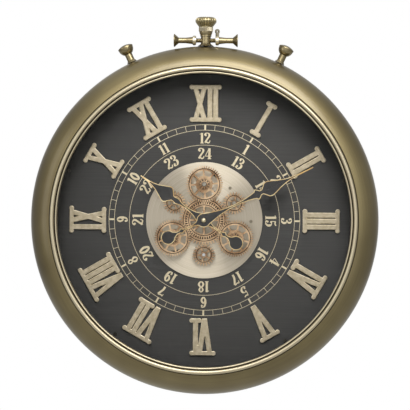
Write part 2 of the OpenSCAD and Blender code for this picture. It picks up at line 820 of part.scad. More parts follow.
// Places a piece on the cross bar, with its z along the bar to the right
module on_bar() { on_case(0) translate([0, 0, bar_up]) rotate([0, 90, 0]) children(); }

module cross_bar() {
    rod_half = collar_at + collar_w / 2 + rod_grip;
    color("#5f5539") upright() on_bar() disc(rod_r, -rod_half, rod_half);
}

module bar_ends() {
    tube_start = collar_at + collar_w / 2;
    flare_start = bar_half - trumpet_h;
    color("#6d6141") upright() on_bar()
        for (side = [0, 1])
            mirror([0, 0, side]) difference() {
                union() {
                    disc(tube_r, tube_start, flare_start);
                    translate([0, 0, tube_start])
                        cylinder(r1 = tube_r + tube_swell, r2 = tube_r, h = (flare_start - tube_start) / 2);
                    translate([0, 0, flare_start])
                        cylinder(r1 = tube_r, r2 = trumpet_r, h = trumpet_h - trumpet_lip);
                    disc(trumpet_r, bar_half - trumpet_lip, bar_half);
                }
                disc(rod_r + run_gap, tube_start - over, tube_start + rod_grip + gap);
            }
}

module bar_collars() {
    neck_z = collar_r - eyelet_t / 2;
    color("#b3a98c") upright() on_bar()
        for (side = [-1, 1])
            translate([0, 0, side * collar_at]) difference() {
                union() {
                    disc(collar_r - collar_chamfer, -collar_w / 2, collar_w / 2);
                    disc(collar_r, -collar_w / 2 + collar_chamfer, collar_w / 2 - collar_chamfer);
                    if (side > 0) rotate([0, -90, 0]) rotate([0, 0, eyelet_turn]) {
                        block(-eyelet_w / 3, eyelet_w / 3, -eyelet_t / 2, eyelet_t / 2, neck_z, eyelet_h);
                        translate([0, eyelet_t / 2, eyelet_h]) rotate([90, 0, 0])
                            cylinder(r = eyelet_w / 2, h = eyelet_t);
                    }
                }
                disc(rod_r + run_gap, -collar_w, collar_w);
                if (side > 0) rotate([0, -90, 0]) rotate([0, 0, eyelet_turn])
                    translate([0, eyelet_t, eyelet_h]) rotate([90, 0, 0])
                        cylinder(r = eyelet_hole_r, h = 2 * eyelet_t);
            }
}

// The dome of the cap is faced off flat at its top
module pushers() {
    neck_h = pusher_h - pusher_cap_h;
    lip_top = pusher_h - pusher_crown;
    lip_foot = lip_top - pusher_lip;
    dome_h = pusher_crown + pusher_flat;
    dome_r = (pow(pusher_cap_r, 2) + pow(dome_h, 2)) / (2 * dome_h);
    color("#6d6141") upright()
        for (a = [-pusher_angle, pusher_angle])
            on_case(a) {
                disc(pusher_stud_r, -pad_deep - nut_h - over, over);
                cylinder(r1 = pusher_foot_r, r2 = pusher_neck_r, h = foot_h);
                cylinder(r = pusher_neck_r, h = neck_h + pusher_lip);
                intersection() {
                    translate([0, 0, lip_foot]) sphere(pusher_cap_r - band_over);
                    disc(pusher_cap_r, neck_h, lip_foot + over);
                }
                disc(pusher_cap_r, lip_foot, lip_top);
                intersection() {
                    translate([0, 0, pusher_h + pusher_flat - dome_r]) sphere(dome_r);
                    disc(pusher_cap_r - band_over, lip_top - over, pusher_h);
                }
            }
}

module ornament_nuts() {
    color("#8d8f92") upright() {
        on_case(0) translate([0, 0, -pad_deep - nut_h])
            nut(2 * crown_stud_r, crown_stud_r + run_gap, nut_h);
        for (a = [-pusher_angle, pusher_angle])
            on_case(a) translate([0, 0, -pad_deep - nut_h])
                nut(2 * pusher_stud_r, pusher_stud_r + run_gap, nut_h);
    }
}

// Movement and motion work

module movement_case() {
    half = move_w / 2;
    inner = half - shell_t;
    head = move_h / 2;
    rear = move_z + shell_t;
    split = shell_t + cell_bay - head;
    color("#232323") upright() difference() {
        union() {
            difference() {
                block(-half, half, -head, head, rear, dial_rear);
                block(-inner, inner, shell_t - head, split, rear - over, move_front);
                block(-inner, inner, split + shell_t, head - shell_t, rear - over, move_front);
            }
            at_clock(90, motion_at) disc(motion_post_r, cannon_z - gap, move_front + shell_t / 2);
        }
        disc(bushing_r + run_gap, move_front - over, dial_rear + over);
    }
}

module movement_cover() {
    half = move_w / 2;
    head = move_h / 2;
    color("#2b2b2b") upright() difference() {
        block(-half, half, shell_t + cell_bay - head, head, move_z, move_z + shell_t);
        at_clock(0, set_at) disc(set_shaft_r + run_gap, move_z - over, move_z + shell_t + over);
    }
}

module movement_bushing() {
    color("#b89a52") upright() difference() {
        union() {
            disc(bushing_flange_r, move_front - bushing_flange_t, move_front);
            disc(bushing_r, move_front - bushing_flange_t, bushing_top);
        }
        disc(hour_tube_r + run_gap, move_front - bushing_flange_t - over, bushing_top + over);
    }
}

module movement_nuts() {
    hub_top = front_wheel_z + wheel_t + boss_h;
    color("#b89a52") upright() {
        translate([0, 0, plate_front]) nut(nut_r, bushing_r + run_gap, lower_nut_t);
        translate([0, 0, hub_top + gap])
            nut(nut_r, bushing_r + run_gap, bushing_top - hub_top - 2 * gap);
    }
}

// One cell standing along z, its middle at the origin
module cell() {
    translate([0, 0, -cell_l / 2]) cylinder(r = cell_r, h = cell_l - nub_h);
    translate([0, 0, -cell_l / 2]) cylinder(r = nub_r, h = cell_l);
}

// The two contacts of a cell that stands along z
module cell_contacts() {
    touch = cell_end - gap;
    for (side = [0, 1])
        mirror([0, 0, side]) {
            block(-contact_w / 2, contact_w / 2, -contact_w / 2, contact_w / 2,
                bay_l / 2 - contact_t, bay_l / 2);
            translate([0, 0, bay_l / 2 - touch]) cylinder(r = nub_r, h = touch);
        }
}

// Places a piece in the movement's bay and two in the bay of the gear drive
module at_cells() {
    z = move_front - cell_r - gap;
    translate([0, shell_t + (cell_bay - move_h) / 2, z]) rotate([0, 90, 0]) children();
    for (side = [-1, 1])
        translate([(bay_split - drive_w / 2) / 2 + side * cell_pitch / 2, drive_mid - bay_l / 2, z])
            rotate([90 * side, 0, 0]) children();
}

module batteries() { color("#8b8f94") upright() at_cells() cell(); }

module battery_contacts() { color("#c3c6c8") upright() at_cells() cell_contacts(); }

module motion_wheel() {
    turn = mesh_turn(90, cannon_teeth, 0, motion_teeth);
    color("#d8d4c8") upright() at_clock(90, motion_at) rotate([0, 0, 90 - turn]) difference() {
        union() {
            toothed(motion_teeth, set_module, cannon_z, cannon_z + wheel_small_t);
            toothed(motion_pinion_teeth, hour_module, cannon_z, hour_wheel_z + wheel_small_t + gap);
        }
        disc(motion_post_r + run_gap, cannon_z - over, hour_wheel_z + wheel_small_t + over);
    }
}

module time_set_knob() {
    turn = mesh_turn(0, set_teeth, 0, set_teeth);
    color("#3c3c3c") upright() at_clock(0, set_at) rotate([0, 0, -turn]) {
        toothed(set_teeth, set_module, set_wheel_z, set_wheel_z + wheel_small_t);
        disc(set_shaft_r, move_z - over, set_wheel_z + over);
        difference() {
            disc(set_knob_r, move_z - gap - set_knob_h, move_z - gap);
            for (i = [0 : knob_grips - 1])
                rotate([0, 0, 360 / knob_grips * i]) translate([set_knob_r + gap, 0, 0])
                    disc(flute_r, move_z - 2 * set_knob_h, move_z);
        }
    }
}

module hour_tube() {
    wheel_turn = mesh_turn(90, cannon_teeth, 0, motion_teeth);
    turn = mesh_turn(270, motion_pinion_teeth, wheel_turn, hour_teeth);
    color("#c9b26a") upright() difference() {
        union() {
            rotate([0, 0, -turn])
                toothed(hour_teeth, hour_module, hour_wheel_z, hour_wheel_z + wheel_small_t);
            disc(hour_tube_r, hour_wheel_z, hour_z + hand_t + gap);
        }
        disc(minute_shaft_r + run_gap, hour_wheel_z - over, hour_z + hand_t + over);
    }
}

module minute_shaft() {
    color("#c8c8c4") upright() {
        disc(minute_shaft_r, move_z + shell_t + gap, minute_z + hand_t + cap_h / 2);
        toothed(set_teeth, set_module, set_wheel_z, set_wheel_z + wheel_small_t);
        toothed(cannon_teeth, set_module, cannon_z, cannon_z + wheel_small_t);
    }
}

// Hands

// Closed outline from one half, its right side first and then its left
function both_sides(half) = concat(half, [for (i = [len(half) - 1 : -1 : 0]) [-half[i][0], half[i][1]]]);

module hand_shape(outline_shares, reach, spade, hub, z0, hole) {
    translate([0, 0, z0]) linear_extrude(hand_t) difference() {
        union() {
            polygon(both_sides([for (p = outline_shares) [p[1] * spade, p[0] * reach]]));
            polygon(both_sides([for (p = tail_outline_shares) [p[1] * tail_r, -p[0] * tail_reach]]));
            circle(hub);
            translate([0, -tail_reach]) circle(tail_r);
        }
        circle(hole);
    }
}

module hour_hand() {
    hole = hour_tube_r + run_gap;
    color("#2c2b29") upright() rotate([0, 0, -hour_angle]) {
        hand_shape(hour_outline_shares, hour_reach, hour_spade, hour_hub_r, hour_z, hole);
        ring(hour_boss_r, hole, hour_z - hand_boss_h, hour_z);
    }
}

module minute_hand() {
    hole = minute_shaft_r + run_gap;
    color("#2c2b29") upright() rotate([0, 0, -minute_angle]) {
        hand_shape(minute_outline_shares, minute_reach, minute_spade, minute_hub_r, minute_z, hole);
        ring(minute_boss_r, hole, minute_z - hand_boss_h, minute_z);
    }
}

module hand_cap() {
    foot = minute_z + hand_t;
    color("#f0e6c8") upright() difference() {
        union() {
            disc(cap_r, foot, foot + cap_h / 4);
            intersection() {
                translate([0, 0, foot + cap_h / 4]) sphere(cap_r);
                disc(cap_r + over, foot, foot + cap_h);
            }
        }
        disc(minute_shaft_r + run_gap, foot - over, foot + cap_h / 2 + gap);
    }
}

// Gear drive

// Runs from the output shaft to the reduction wheel and on to the motor
module at_reduction() {
    at_clock(3 * small_turn, small_at) rotate([0, 0, 3 * small_turn])
        at_clock(reduction_turn, reduction_at) rotate([0, 0, reduction_turn]) children();
}

module at_motor() { at_reduction() at_clock(motor_turn, motor_at) rotate([0, 0, motor_turn]) children(); }

module drive_case() {
    half = drive_w / 2;
    rear = move_z + shell_t;
    color("#232323") upright() difference() {
        union() {
            difference() {
                block(-half, half, drive_foot, drive_top, rear, dial_rear);
                block(-half + shell_t, half - shell_t, drive_mid + shell_t, drive_top - shell_t,
                    rear - over, move_front);
                block(-half + shell_t, bay_split - shell_t, drive_mid - bay_l, drive_mid,
                    rear - over, move_front);
                block(bay_split, half - shell_t, drive_mid - bay_l, drive_mid, rear - over, move_front);
                block(-half - over, bay_split - shell_t, drive_foot - over, drive_foot + shell_t + over,
                    rear - over, rear + door_lip + gap);
            }
            at_reduction() disc(motion_post_r, reduction_wheel_z - gap, move_front + shell_t / 2);
        }
        at_clock(3 * small_turn, small_at) disc(post_r + run_gap, move_front - over, dial_rear + over);
    }
}

module drive_cover() {
    half = drive_w / 2;
    slot_y = switch_y() - switch_travel;
    color("#2b2b2b") upright() difference() {
        union() {
            block(-half, half, drive_mid, drive_top, move_z, move_z + shell_t);
            block(bay_split - shell_t, half, drive_foot, drive_mid + over, move_z, move_z + shell_t);
        }
        block(switch_x() - switch_w / 4 - gap, switch_x() + switch_w / 4 + gap, slot_y - gap,
            switch_y() + switch_l / 2 + gap, move_z - over, move_z + shell_t + over);
    }
}

// Middle of the switch across and its lower edge at rest
function switch_x() = (bay_split + drive_w / 2 - shell_t) / 2;
function switch_y() = (drive_mid + drive_foot) / 2;

module drive_switch() {
    rear = move_z + shell_t;
    color("#c9c9c6") upright() {
        block(switch_x() - switch_w / 2, switch_x() + switch_w / 2, switch_y() - switch_l / 4,
            switch_y() + switch_l * 3 / 4, rear + gap, rear + gap + switch_up);
        block(switch_x() - switch_w / 4, switch_x() + switch_w / 4, switch_y(), switch_y() + switch_l / 2,
            move_z - switch_up, rear + gap + switch_up / 2);
    }
}

module battery_door() {
    half = drive_w / 2;
    rear = move_z + shell_t;
    right = bay_split - shell_t - gap;
    color("#333333") upright() {
        block(-half, right, drive_foot, drive_mid - gap, move_z, rear - run_gap);
        for (x = [-half + shell_t + gap, right - shell_t - gap])
            block(x, x + shell_t, drive_foot + shell_t, drive_mid - gap,
                move_z + shell_t / 2, rear + door_lip);
        block(-half, right, drive_foot, drive_foot + shell_t, move_z + shell_t / 2, rear + door_lip);
        for (i = [0 : door_grips - 1])
            block(-half / 2, 0, grips_foot + grip_pitch * i, grips_foot + grip_pitch * i + grip_w,
                move_z - grip_up, move_z + shell_t / 2);
    }
}

module drive_motor() {
    color("#9aa0a4") upright() at_motor() difference() {
        union() {
            disc(motor_r, move_z + shell_t + gap, motor_front - motor_lip);
            disc(motor_r - motor_lip, move_z + shell_t + gap, motor_front);
        }
        disc(motor_shaft_r + run_gap, motor_front - motor_shaft_l - gap, motor_front + over);
    }
}

module motor_pinion() {
    turn = mesh_turn(motor_turn, reduction_teeth, 0, motor_pinion_teeth);
    color("#c9b26a") upright() at_motor() rotate([0, 0, -turn]) {
        toothed(motor_pinion_teeth, reduction_module, reduction_wheel_z - gap,
            reduction_wheel_z + drive_wheel_t + gap);
        disc(motor_shaft_r, motor_front - motor_shaft_l, reduction_wheel_z + drive_wheel_t);
    }
}

module reduction_wheel() {
    pinion_turn = mesh_turn(reduction_turn, output_teeth, 0, output_pinion_teeth);
    top = output_wheel_z + drive_wheel_t;
    color("#d8d4c8") upright() at_reduction() difference() {
        union() {
            toothed(reduction_teeth, reduction_module, reduction_wheel_z,
                reduction_wheel_z + drive_wheel_t);
            rotate([0, 0, -pinion_turn])
                toothed(output_pinion_teeth, output_module, reduction_wheel_z, top);
        }
        disc(motion_post_r + run_gap, reduction_wheel_z - over, top + over);
    }
}

module output_shaft() {
    color("#c8c8c4") upright() at_clock(3 * small_turn, small_at) rotate([0, 0, 3 * small_turn]) {
        disc(post_r, move_z + shell_t + gap, rear_wheel_z + wheel_t + boss_h + gap + post_head_h);
        toothed(output_teeth, output_module, output_wheel_z, output_wheel_z + drive_wheel_t);
    }
}

// Gears on the dial

module gear_post(shoulder_top, hub_top) {
    disc(post_r, dial_rear, hub_top + gap + post_head_h / 2);
    disc(shoulder_r, plate_front, shoulder_top);
    disc(post_head_r, hub_top + gap, hub_top + gap + post_head_h);
}

module gear_posts() {
    color("#b9bab6") upright()
        for (i = [0 : 2]) {
            at_clock(step_turn * i, large_at)
                gear_post(front_wheel_z - hub_under - gap, front_wheel_z + wheel_t + top_pinion_h);
            if (i != 1) at_clock(small_turn + step_turn * i, small_at)
                gear_post(rear_wheel_z - hub_under - gap, rear_wheel_z + wheel_t + boss_h);
        }
}

module centre_gear() {
    rear_root = root_r(rear_teeth, rear_module);
    front_root = root_r(front_teeth, front_module);
    rear_top = rear_wheel_z + wheel_t;
    front_top = front_wheel_z + wheel_t;
    hub_top = front_top + boss_h;
    color("#b98a62") upright() difference() {
        union() {
            spoked(rear_teeth, rear_module, rear_wheel_z, rear_top, rear_root - front_root + rim_small,
                centre_hub_r, large_spokes, spoke_w);
            spoked(front_teeth, front_module, front_wheel_z, front_top, rim_large,
                centre_hub_r, large_spokes, spoke_w);
            disc(centre_hub_r, rear_wheel_z - gap, hub_top);
        }
        disc(bushing_r + run_gap, rear_wheel_z - over, hub_top + over);
        ring(rear_root - groove_w, rear_root - 2 * groove_w, rear_top - groove_deep, rear_top + over);
        ring(front_root - groove_w, front_root - 2 * groove_w, front_top - groove_deep, front_top + over);
    }
}

module large_gear(i) {
    root = root_r(large_teeth, front_module);
    turn = mesh_turn(step_turn * i, front_teeth, 0, large_teeth);
    top = front_wheel_z + wheel_t;
    color("#c2946b") upright() at_clock(step_turn * i, large_at)
        rotate([0, 0, step_turn * i - turn]) difference() {
            union() {
                spoked(large_teeth, front_module, front_wheel_z, top, rim_large,
                    hub_r, large_spokes, spoke_w);
                disc(web_r, front_wheel_z, top);
                disc(hub_r, front_wheel_z - hub_under, top + top_pinion_h);
                toothed(top_pinion_teeth, top_pinion_module, top - over, top + top_pinion_h);
            }
            disc(post_r + run_gap, front_wheel_z - hub_under - over, top + top_pinion_h + over);
            ring(root - groove_w / 2, root - groove_w * 3 / 2, top - groove_deep, top + over);
        }
}

module small_gear(i) {
    root = root_r(small_teeth, rear_module);
    theta = small_turn + step_turn * i;
    turn = mesh_turn(theta, rear_teeth, 0, small_teeth);
    top = rear_wheel_z + wheel_t;
    color("#c59a70") upright() at_clock(theta, small_at) rotate([0, 0, theta - turn]) difference() {
        union() {
            spoked(small_teeth, rear_module, rear_wheel_z, top, rim_small, hub_r, small_spokes, spoke_w);
            disc(hub_r, rear_wheel_z - hub_under, top + boss_h);
        }
        disc(post_r + run_gap, rear_wheel_z - hub_under - over, top + boss_h + over);
        ring(root - groove_w / 2, root - groove_w * 3 / 2, top - groove_deep, top + over);
    }
}

case_shell();
dial_ring();
bezel_ring();
glass();
glass_gasket();
dial_plate();
centre_plate();
numeral(1);  // numeral_01
numeral(2);  // numeral_02
numeral(3);  // numeral_03
numeral(4);  // numeral_04
numeral(5);  // numeral_05
numeral(6);  // numeral_06
numeral(7);  // numeral_07
numeral(8);  // numeral_08
numeral(9);  // numeral_09
numeral(10);  // numeral_10
numeral(11);  // numeral_11
numeral(12);  // numeral_12
pillar_screws();
plate_screws();
back_cover();
hanger_plate();
hanger_rivets();
crown_stem();
crown_knob();
cross_bar();
bar_ends();
bar_collars();
pushers();
ornament_nuts();
movement_case();
movement_cover();
movement_bushing();
movement_nuts();
batteries();
battery_contacts();
motion_wheel();
time_set_knob();
hour_tube();
hour_hand();
minute_shaft();
minute_hand();
hand_cap();
drive_case();
drive_cover();
battery_door();
drive_motor();
motor_pinion();
reduction_wheel();
output_shaft();
drive_switch();
gear_posts();
centre_gear();
large_gear(0);  // large_gear_top
large_gear(1);  // large_gear_right
large_gear(2);  // large_gear_left
small_gear(0);  // small_gear_right
small_gear(1);  // small_gear_bottom
small_gear(2);  // small_gear_left
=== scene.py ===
# Finishes and fine shapes of a round wall clock in the style of a pocket watch.
# A shape is made lying on its back, in millimetres, with x right, y up and z towards the viewer.
# It is then stood upright as the clock hangs: it faces -Y and the wall is the plane y = 0.
import json
import math

import bpy
from mathutils import Matrix, Quaternion, Vector

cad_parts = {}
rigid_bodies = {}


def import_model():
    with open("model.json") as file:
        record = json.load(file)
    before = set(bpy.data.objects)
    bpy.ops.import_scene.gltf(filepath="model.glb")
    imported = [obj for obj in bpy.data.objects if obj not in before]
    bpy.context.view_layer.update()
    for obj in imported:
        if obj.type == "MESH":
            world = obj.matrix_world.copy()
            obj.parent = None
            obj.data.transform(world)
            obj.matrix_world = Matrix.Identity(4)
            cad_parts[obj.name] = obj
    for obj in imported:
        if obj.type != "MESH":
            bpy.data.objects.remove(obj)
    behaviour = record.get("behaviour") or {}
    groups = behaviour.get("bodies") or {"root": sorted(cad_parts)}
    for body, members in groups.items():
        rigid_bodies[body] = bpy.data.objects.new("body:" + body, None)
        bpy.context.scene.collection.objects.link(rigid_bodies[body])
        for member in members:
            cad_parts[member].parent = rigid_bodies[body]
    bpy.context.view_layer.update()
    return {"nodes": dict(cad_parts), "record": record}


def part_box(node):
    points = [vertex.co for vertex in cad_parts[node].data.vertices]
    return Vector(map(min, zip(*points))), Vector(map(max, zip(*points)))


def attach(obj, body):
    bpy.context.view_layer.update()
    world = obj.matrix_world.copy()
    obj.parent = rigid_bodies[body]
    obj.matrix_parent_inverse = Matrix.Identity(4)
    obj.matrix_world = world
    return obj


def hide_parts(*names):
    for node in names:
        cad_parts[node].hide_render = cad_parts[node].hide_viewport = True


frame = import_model()

# Units and the frame

MM = 0.001
TURN = 2 * math.pi
NODES = frame["nodes"]
BODY_OF = {
    node: body
    for body, members in frame["record"]["behaviour"]["bodies"].items()
    for node in members
}


def corner(node, which, axis):
    """A side of a CAD node's box in the lying frame, in mm: the lowest for 0, the highest for 1."""
    low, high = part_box(node)
    if axis == "z":
        return -(high, low)[which][1] / MM
    return (low, high)[which][0 if axis == "x" else 2] / MM


# Sizes of the case and the bezel, in mm

CASE_R = corner("case_shell", 1, "x")
ROLL_R = 34
ROLL_WALL = 2
ROLL_AT = CASE_R - ROLL_R
ROLL_Z = 38
GROOVE_R = CASE_R - 28
RIM_R = GROOVE_R + ROLL_WALL
RIM_W = 5
SEAT_Z = 60
SEAT_W = 8.5
SEAT_T = 1.5
REBATE_Z = 6.5
REBATE_IN = 1
CASE_EDGE = 0.6
LIP_DROP = 0.1
LIP_TURN = 1.2
GLASS_TOP = corner("glass", 1, "z")
BEZEL_R = corner("bezel_ring", 1, "x")
BEZEL_W = 9.5
BEZEL_H = 6
BEAD_TOP = 5.4
BEAD_R = 2.75
BEAD_IN = 3.3
LIP_R = 1.4
LIP_TOP = 2.2
GAP_DEEP = 0.8
BEZEL_EDGE = 0.4
TURNED_STEPS = 288

# Sizes of the dial and its print, in mm

DIAL_Z = corner("dial_plate", 1, "z")
PRINT_T = 0.12
# Printed parts that cross differ a little in thickness, so that no two faces lie in one place
TICK_LIFT = 1.2
DOT_LIFT = 1.4
STROKE_LIFT = 0.1
PRINT_TURN = 0.1
TRACK_R = 126.6
TRACK_W = 7.2
LINE_W = 0.55
THIN_CIRCLE_R = 99.6
TICK_W = 0.55
HOUR_TICK_W = 2.3
OUTER_DIGIT_R = 108.7
OUTER_DIGIT_H = 14.2
INNER_DIGIT_R = 88.2
INNER_DIGIT_H = 14.8
DIGIT_GAP_SHARE = 0.02

# Sizes of the numerals, the hands, the gears and the crown, in mm, and their angles in degrees

NOTCH_W = 0.5
NOTCH_ANGLE = 155
SLOPE_W = 0.7
SLOPE_H = 0.55
MINUTE_ANGLE = 63.7
HOUR_ANGLE = 304.85
HAND_EDGE = 0.75
HAND_SUNK = 0.25
HAND_STEP = 0.12
HAND_TIP = 14
TIP_MARGIN = 0.5
REAR_GEAR_TOP = 35.5
FRONT_GEAR_TOP = 40.5
GEAR_GROOVE = 0.5
GEAR_REACH = 0.1
REAR_TOOTH_FOOT = 27.4
FRONT_TOOTH_TIP = 25.1
BAR_AT = (corner("cross_bar", 0, "y") + corner("cross_bar", 1, "y")) / 2
BAR_HALF = corner("cross_bar", 1, "x")
BAR_Z = (corner("cross_bar", 0, "z") + corner("cross_bar", 1, "z")) / 2
THREAD_R = 3
THREAD_PITCH = 1.5
THREAD_DEEP = 0.45
THREAD_STEPS = 48
CREST_SHARES = (0.4, 0.6)
BAND_R = 9
BAND_H = 5.7
BAND_FOOT = corner("crown_knob", 0, "y") - BAND_H
KNURL_DEEP = 0.45
KNURLS_AROUND = 84
KNURL_ROWS = 7

# Places of the camera, the lamps and the floor, in metres, with the lamps' power in watts

EYE_DISTANCE = 2.2
EYE_SIDE = math.radians(2.1)
EYE_Z = 0.019
EYE_AIM = (0.0005, -0.03, 0.0201)
EYE_TILT = math.radians(0.5)
EYE_LENS_MM = 143.4
SOFTBOX = {"at": (0.14, -0.75, 0.66), "aim": (0, 0, 0.02), "size": (0.85, 0.55), "power": 10.3}
FILL_LEFT = {"at": (-1.6, -1.2, 0.3), "aim": (0, 0, 0), "size": (0.8, 1.2), "power": 4}
FLOOR_W = 6
FLOOR_Z = -1.1

# Making pieces by hand


def only(piece):
    """Selects this piece alone."""
    bpy.ops.object.select_all(action="DESELECT")
    piece.select_set(True)
    bpy.context.view_layer.objects.active = piece


def added(name):
    """Names the primitive that was just added and deselects its parts."""
    piece = bpy.context.active_object
    piece.name = piece.data.name = name
    bpy.ops.object.mode_set(mode="EDIT")
    bpy.ops.mesh.select_all(action="DESELECT")
    bpy.ops.object.mode_set(mode="OBJECT")
    return piece


def edit(piece, kind="FACE", test=None):
    """Opens a piece in edit mode with all of it selected, or only the parts that pass a test."""
    only(piece)
    bpy.ops.object.mode_set(mode="EDIT")
    bpy.ops.mesh.select_mode(type=kind)
    bpy.ops.mesh.select_all(action="SELECT" if test is None else "DESELECT")
    if test is not None:
        bpy.ops.object.mode_set(mode="OBJECT")
        parts = {"FACE": "polygons", "EDGE": "edges", "VERT": "vertices"}[kind]
        for part in getattr(piece.data, parts):
            part.select = test(part)
        bpy.ops.object.mode_set(mode="EDIT")


def done():
    bpy.ops.object.mode_set(mode="OBJECT")


def smooth(piece, angle=30):
    only(piece)
    bpy.ops.object.shade_smooth_by_angle(angle=math.radians(angle))


def finish_with(piece, kind, **settings):
    """Adds a modifier with its settings and applies it."""
    only(piece)
    modifier = piece.modifiers.new(kind.lower(), kind)
    for key, value in settings.items():
        setattr(modifier, key, value)
    bpy.ops.object.modifier_apply(modifier=modifier.name)


def coated(piece, *materials):
    """Gives a piece these finishes and no others."""
    piece.data.materials.clear()
    for material in materials:
        piece.data.materials.append(material)


def slot_in(piece, material):
    """The number of a finish among a piece's own, to which it is added if need be."""
    if material.name not in piece.data.materials:
        piece.data.materials.append(material)
    return piece.data.materials.find(material.name)


def chamfer(piece, width, angle=32, edge=None):
    """Breaks every sharp edge by a width in mm, in a finish of its own if one is given."""
    finish_with(
        piece, "BEVEL", width=width * MM, segments=2, limit_method="ANGLE",
        angle_limit=math.radians(angle), use_clamp_overlap=True,
        material=slot_in(piece, edge) if edge else -1,
    )
    smooth(piece, 40)
    finish_with(piece, "WEIGHTED_NORMAL", keep_sharp=True)


def stand(piece):
    """Stands a lying piece upright."""
    piece.data.transform(Matrix.Rotation(TURN / 4, 4, "X"))


def joined(name, pieces):
    """Joins pieces into one."""
    only(pieces[0])
    for piece in pieces[1:]:
        piece.select_set(True)
    bpy.ops.object.join()
    pieces[0].name = pieces[0].data.name = name
    return pieces[0]


def twin(piece, name):
    """A copy of a piece with its own mesh."""
    copy = bpy.data.objects.new(name, piece.data.copy())
    bpy.context.scene.collection.objects.link(copy)
    return copy


def turned(name, section, closed=True, steps=TURNED_STEPS):
    """Spins a section, given as (radius, height) points in mm, round the clock's axis."""
    bpy.ops.mesh.primitive_circle_add(vertices=len(section), radius=GROOVE_R * MM)
    piece = added(name)
    for vertex, (r, z) in zip(piece.data.vertices, section):
        vertex.co = (r * MM, 0, z * MM)
    if not closed:
        last = {0, len(section) - 1}
        edit(piece, "EDGE", lambda e: set(e.vertices) == last)
        bpy.ops.mesh.delete(type="EDGE")
        done()
    edit(piece, "EDGE")
    bpy.ops.mesh.spin(steps=steps, angle=TURN, center=(0, 0, 0), axis=(0, 0, 1))
    bpy.ops.mesh.select_all(action="SELECT")
    bpy.ops.mesh.remove_doubles(threshold=0.001 * MM)
    bpy.ops.mesh.normals_make_consistent(inside=False)
    done()
    smooth(piece)
    return piece


def arc(x, z, r, start, end, steps=24):
    """Points along an arc, its angles in degrees."""
    angles = [math.radians(start + (end - start) * i / steps) for i in range(steps + 1)]
    return [(x + r * math.cos(a), z + r * math.sin(a)) for a in angles]


def plate(name, outline, z, height):
    """An upright prism over an outline in mm, its foot left open where it lies on another piece."""
    bpy.ops.mesh.primitive_circle_add(vertices=len(outline), radius=MM, fill_type="NGON")
    piece = added(name)
    for vertex, (x, y) in zip(piece.data.vertices, outline):
        vertex.co = (x * MM, y * MM, z * MM)
    edit(piece)
    bpy.ops.mesh.extrude_region_move(TRANSFORM_OT_translate={"value": (0, 0, height * MM)})
    bpy.ops.mesh.select_all(action="SELECT")
    bpy.ops.mesh.normals_make_consistent(inside=False)
    done()
    return piece


def copied(node, name):
    """A copy of a CAD node's mesh, its loose triangles merged and its flat faces made whole."""
    piece = twin(NODES[node], name)
    edit(piece, "VERT")
    bpy.ops.mesh.customdata_custom_splitnormals_clear()
    bpy.ops.mesh.remove_doubles(threshold=0.01 * MM)
    bpy.ops.mesh.dissolve_limited(angle_limit=math.radians(0.4))
    done()
    return piece


def stand_for(piece, node, material=None):
    """The piece rides with a node's body and is shown in its place, in a finish if one is given."""
    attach(piece, BODY_OF[node])
    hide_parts(node)
    if material:
        coated(piece, material)


def painted(piece, material, test, walls=False):
    """Gives a finish to the faces that pass a test and, if asked, to the walls beside them."""
    edit(piece, "FACE", test)
    if walls:
        bpy.ops.mesh.select_more(use_face_step=True)
    piece.active_material_index = slot_in(piece, material)
    bpy.ops.object.material_slot_assign()
    done()


def dressed(node, material, width=0.3, edge=None, paint=(), name=None):
    """A copy of a CAD node with its edges broken, shown in the node's place. A row of paint holds a
    finish, the test for its faces and whether the walls beside them take it too."""
    piece = copied(node, name or f"finished_{node}")
    coated(piece, material)
    for colour, test, walls in paint:
        painted(piece, colour, test, walls)
    chamfer(piece, width, edge=edge)
    stand_for(piece, node)


# Making finishes


def linear(code):
    """An sRGB hex colour as a linear RGBA value."""
    parts = [int(code[i : i + 2], 16) / 255 for i in (1, 3, 5)]
    return (*[p / 12.92 if p <= 0.04045 else ((p + 0.055) / 1.055) ** 2.4 for p in parts], 1)


def put(tree, kind, inputs=(), out=0, **settings):
    """Adds a node with its settings and links. Inputs are values or other nodes' sockets, by name
    or in the node's own order. Gives back one of its outputs, or all of them for None."""
    new = tree.nodes.new("ShaderNode" + kind)
    for key, value in settings.items():
        setattr(new, key, value)
    for key, value in inputs.items() if isinstance(inputs, dict) else enumerate(inputs):
        if isinstance(value, bpy.types.NodeSocket):
            tree.links.new(value, new.inputs[key])
        else:
            new.inputs[key].default_value = value
    return new.outputs if out is None else new.outputs[out]


def finish(name, **constants):
    """A material with its main shader; constants are the shader's own values."""
    material = bpy.data.materials.new(name)
    material.use_nodes = True
    shader = material.node_tree.nodes["Principled BSDF"]
    for key, value in constants.items():
        shader.inputs[key.replace("_", " ")].default_value = value
    return material, material.node_tree, shader


def lead(tree, shader, **sockets):
    """Links sockets to the inputs of the main shader."""
    for key, socket in sockets.items():
        tree.links.new(socket, shader.inputs[key.replace("_", " ")])


def blended(tree, pattern, low, high, first, second, most=1.0):
    """A colour that goes from one to another, or part of the way, as a pattern rises from low to
    high."""
    share = put(tree, "MapRange", (pattern, low, high, 0.0, most))
    ends = [linear(c) if isinstance(c, str) else c for c in (first, second)]
    return put(tree, "Mix", {0: share, 6: ends[0], 7: ends[1]}, out=2, data_type="RGBA")


def dark_in_hollows(tree, colour, patina_and_shade, reach, low, high):
    """A colour darkened with painted shade in corners, in grooves about reach mm wide and near
    other parts, where an ambient occlusion node finds it closed in.
    """
    open_share = put(tree, "AmbientOcclusion", {"Distance": reach * MM}, out="AO", samples=8)
    return blended(tree, open_share, low, high, patina_and_shade, colour)


def mottling(tree, size):
    """A pattern of soft spots, about size mm across."""
    at = put(tree, "TexCoord", out="Object")
    return put(tree, "TexNoise", {"Vector": at, "Scale": 0.5 / (size * MM), "Detail": 3.0})


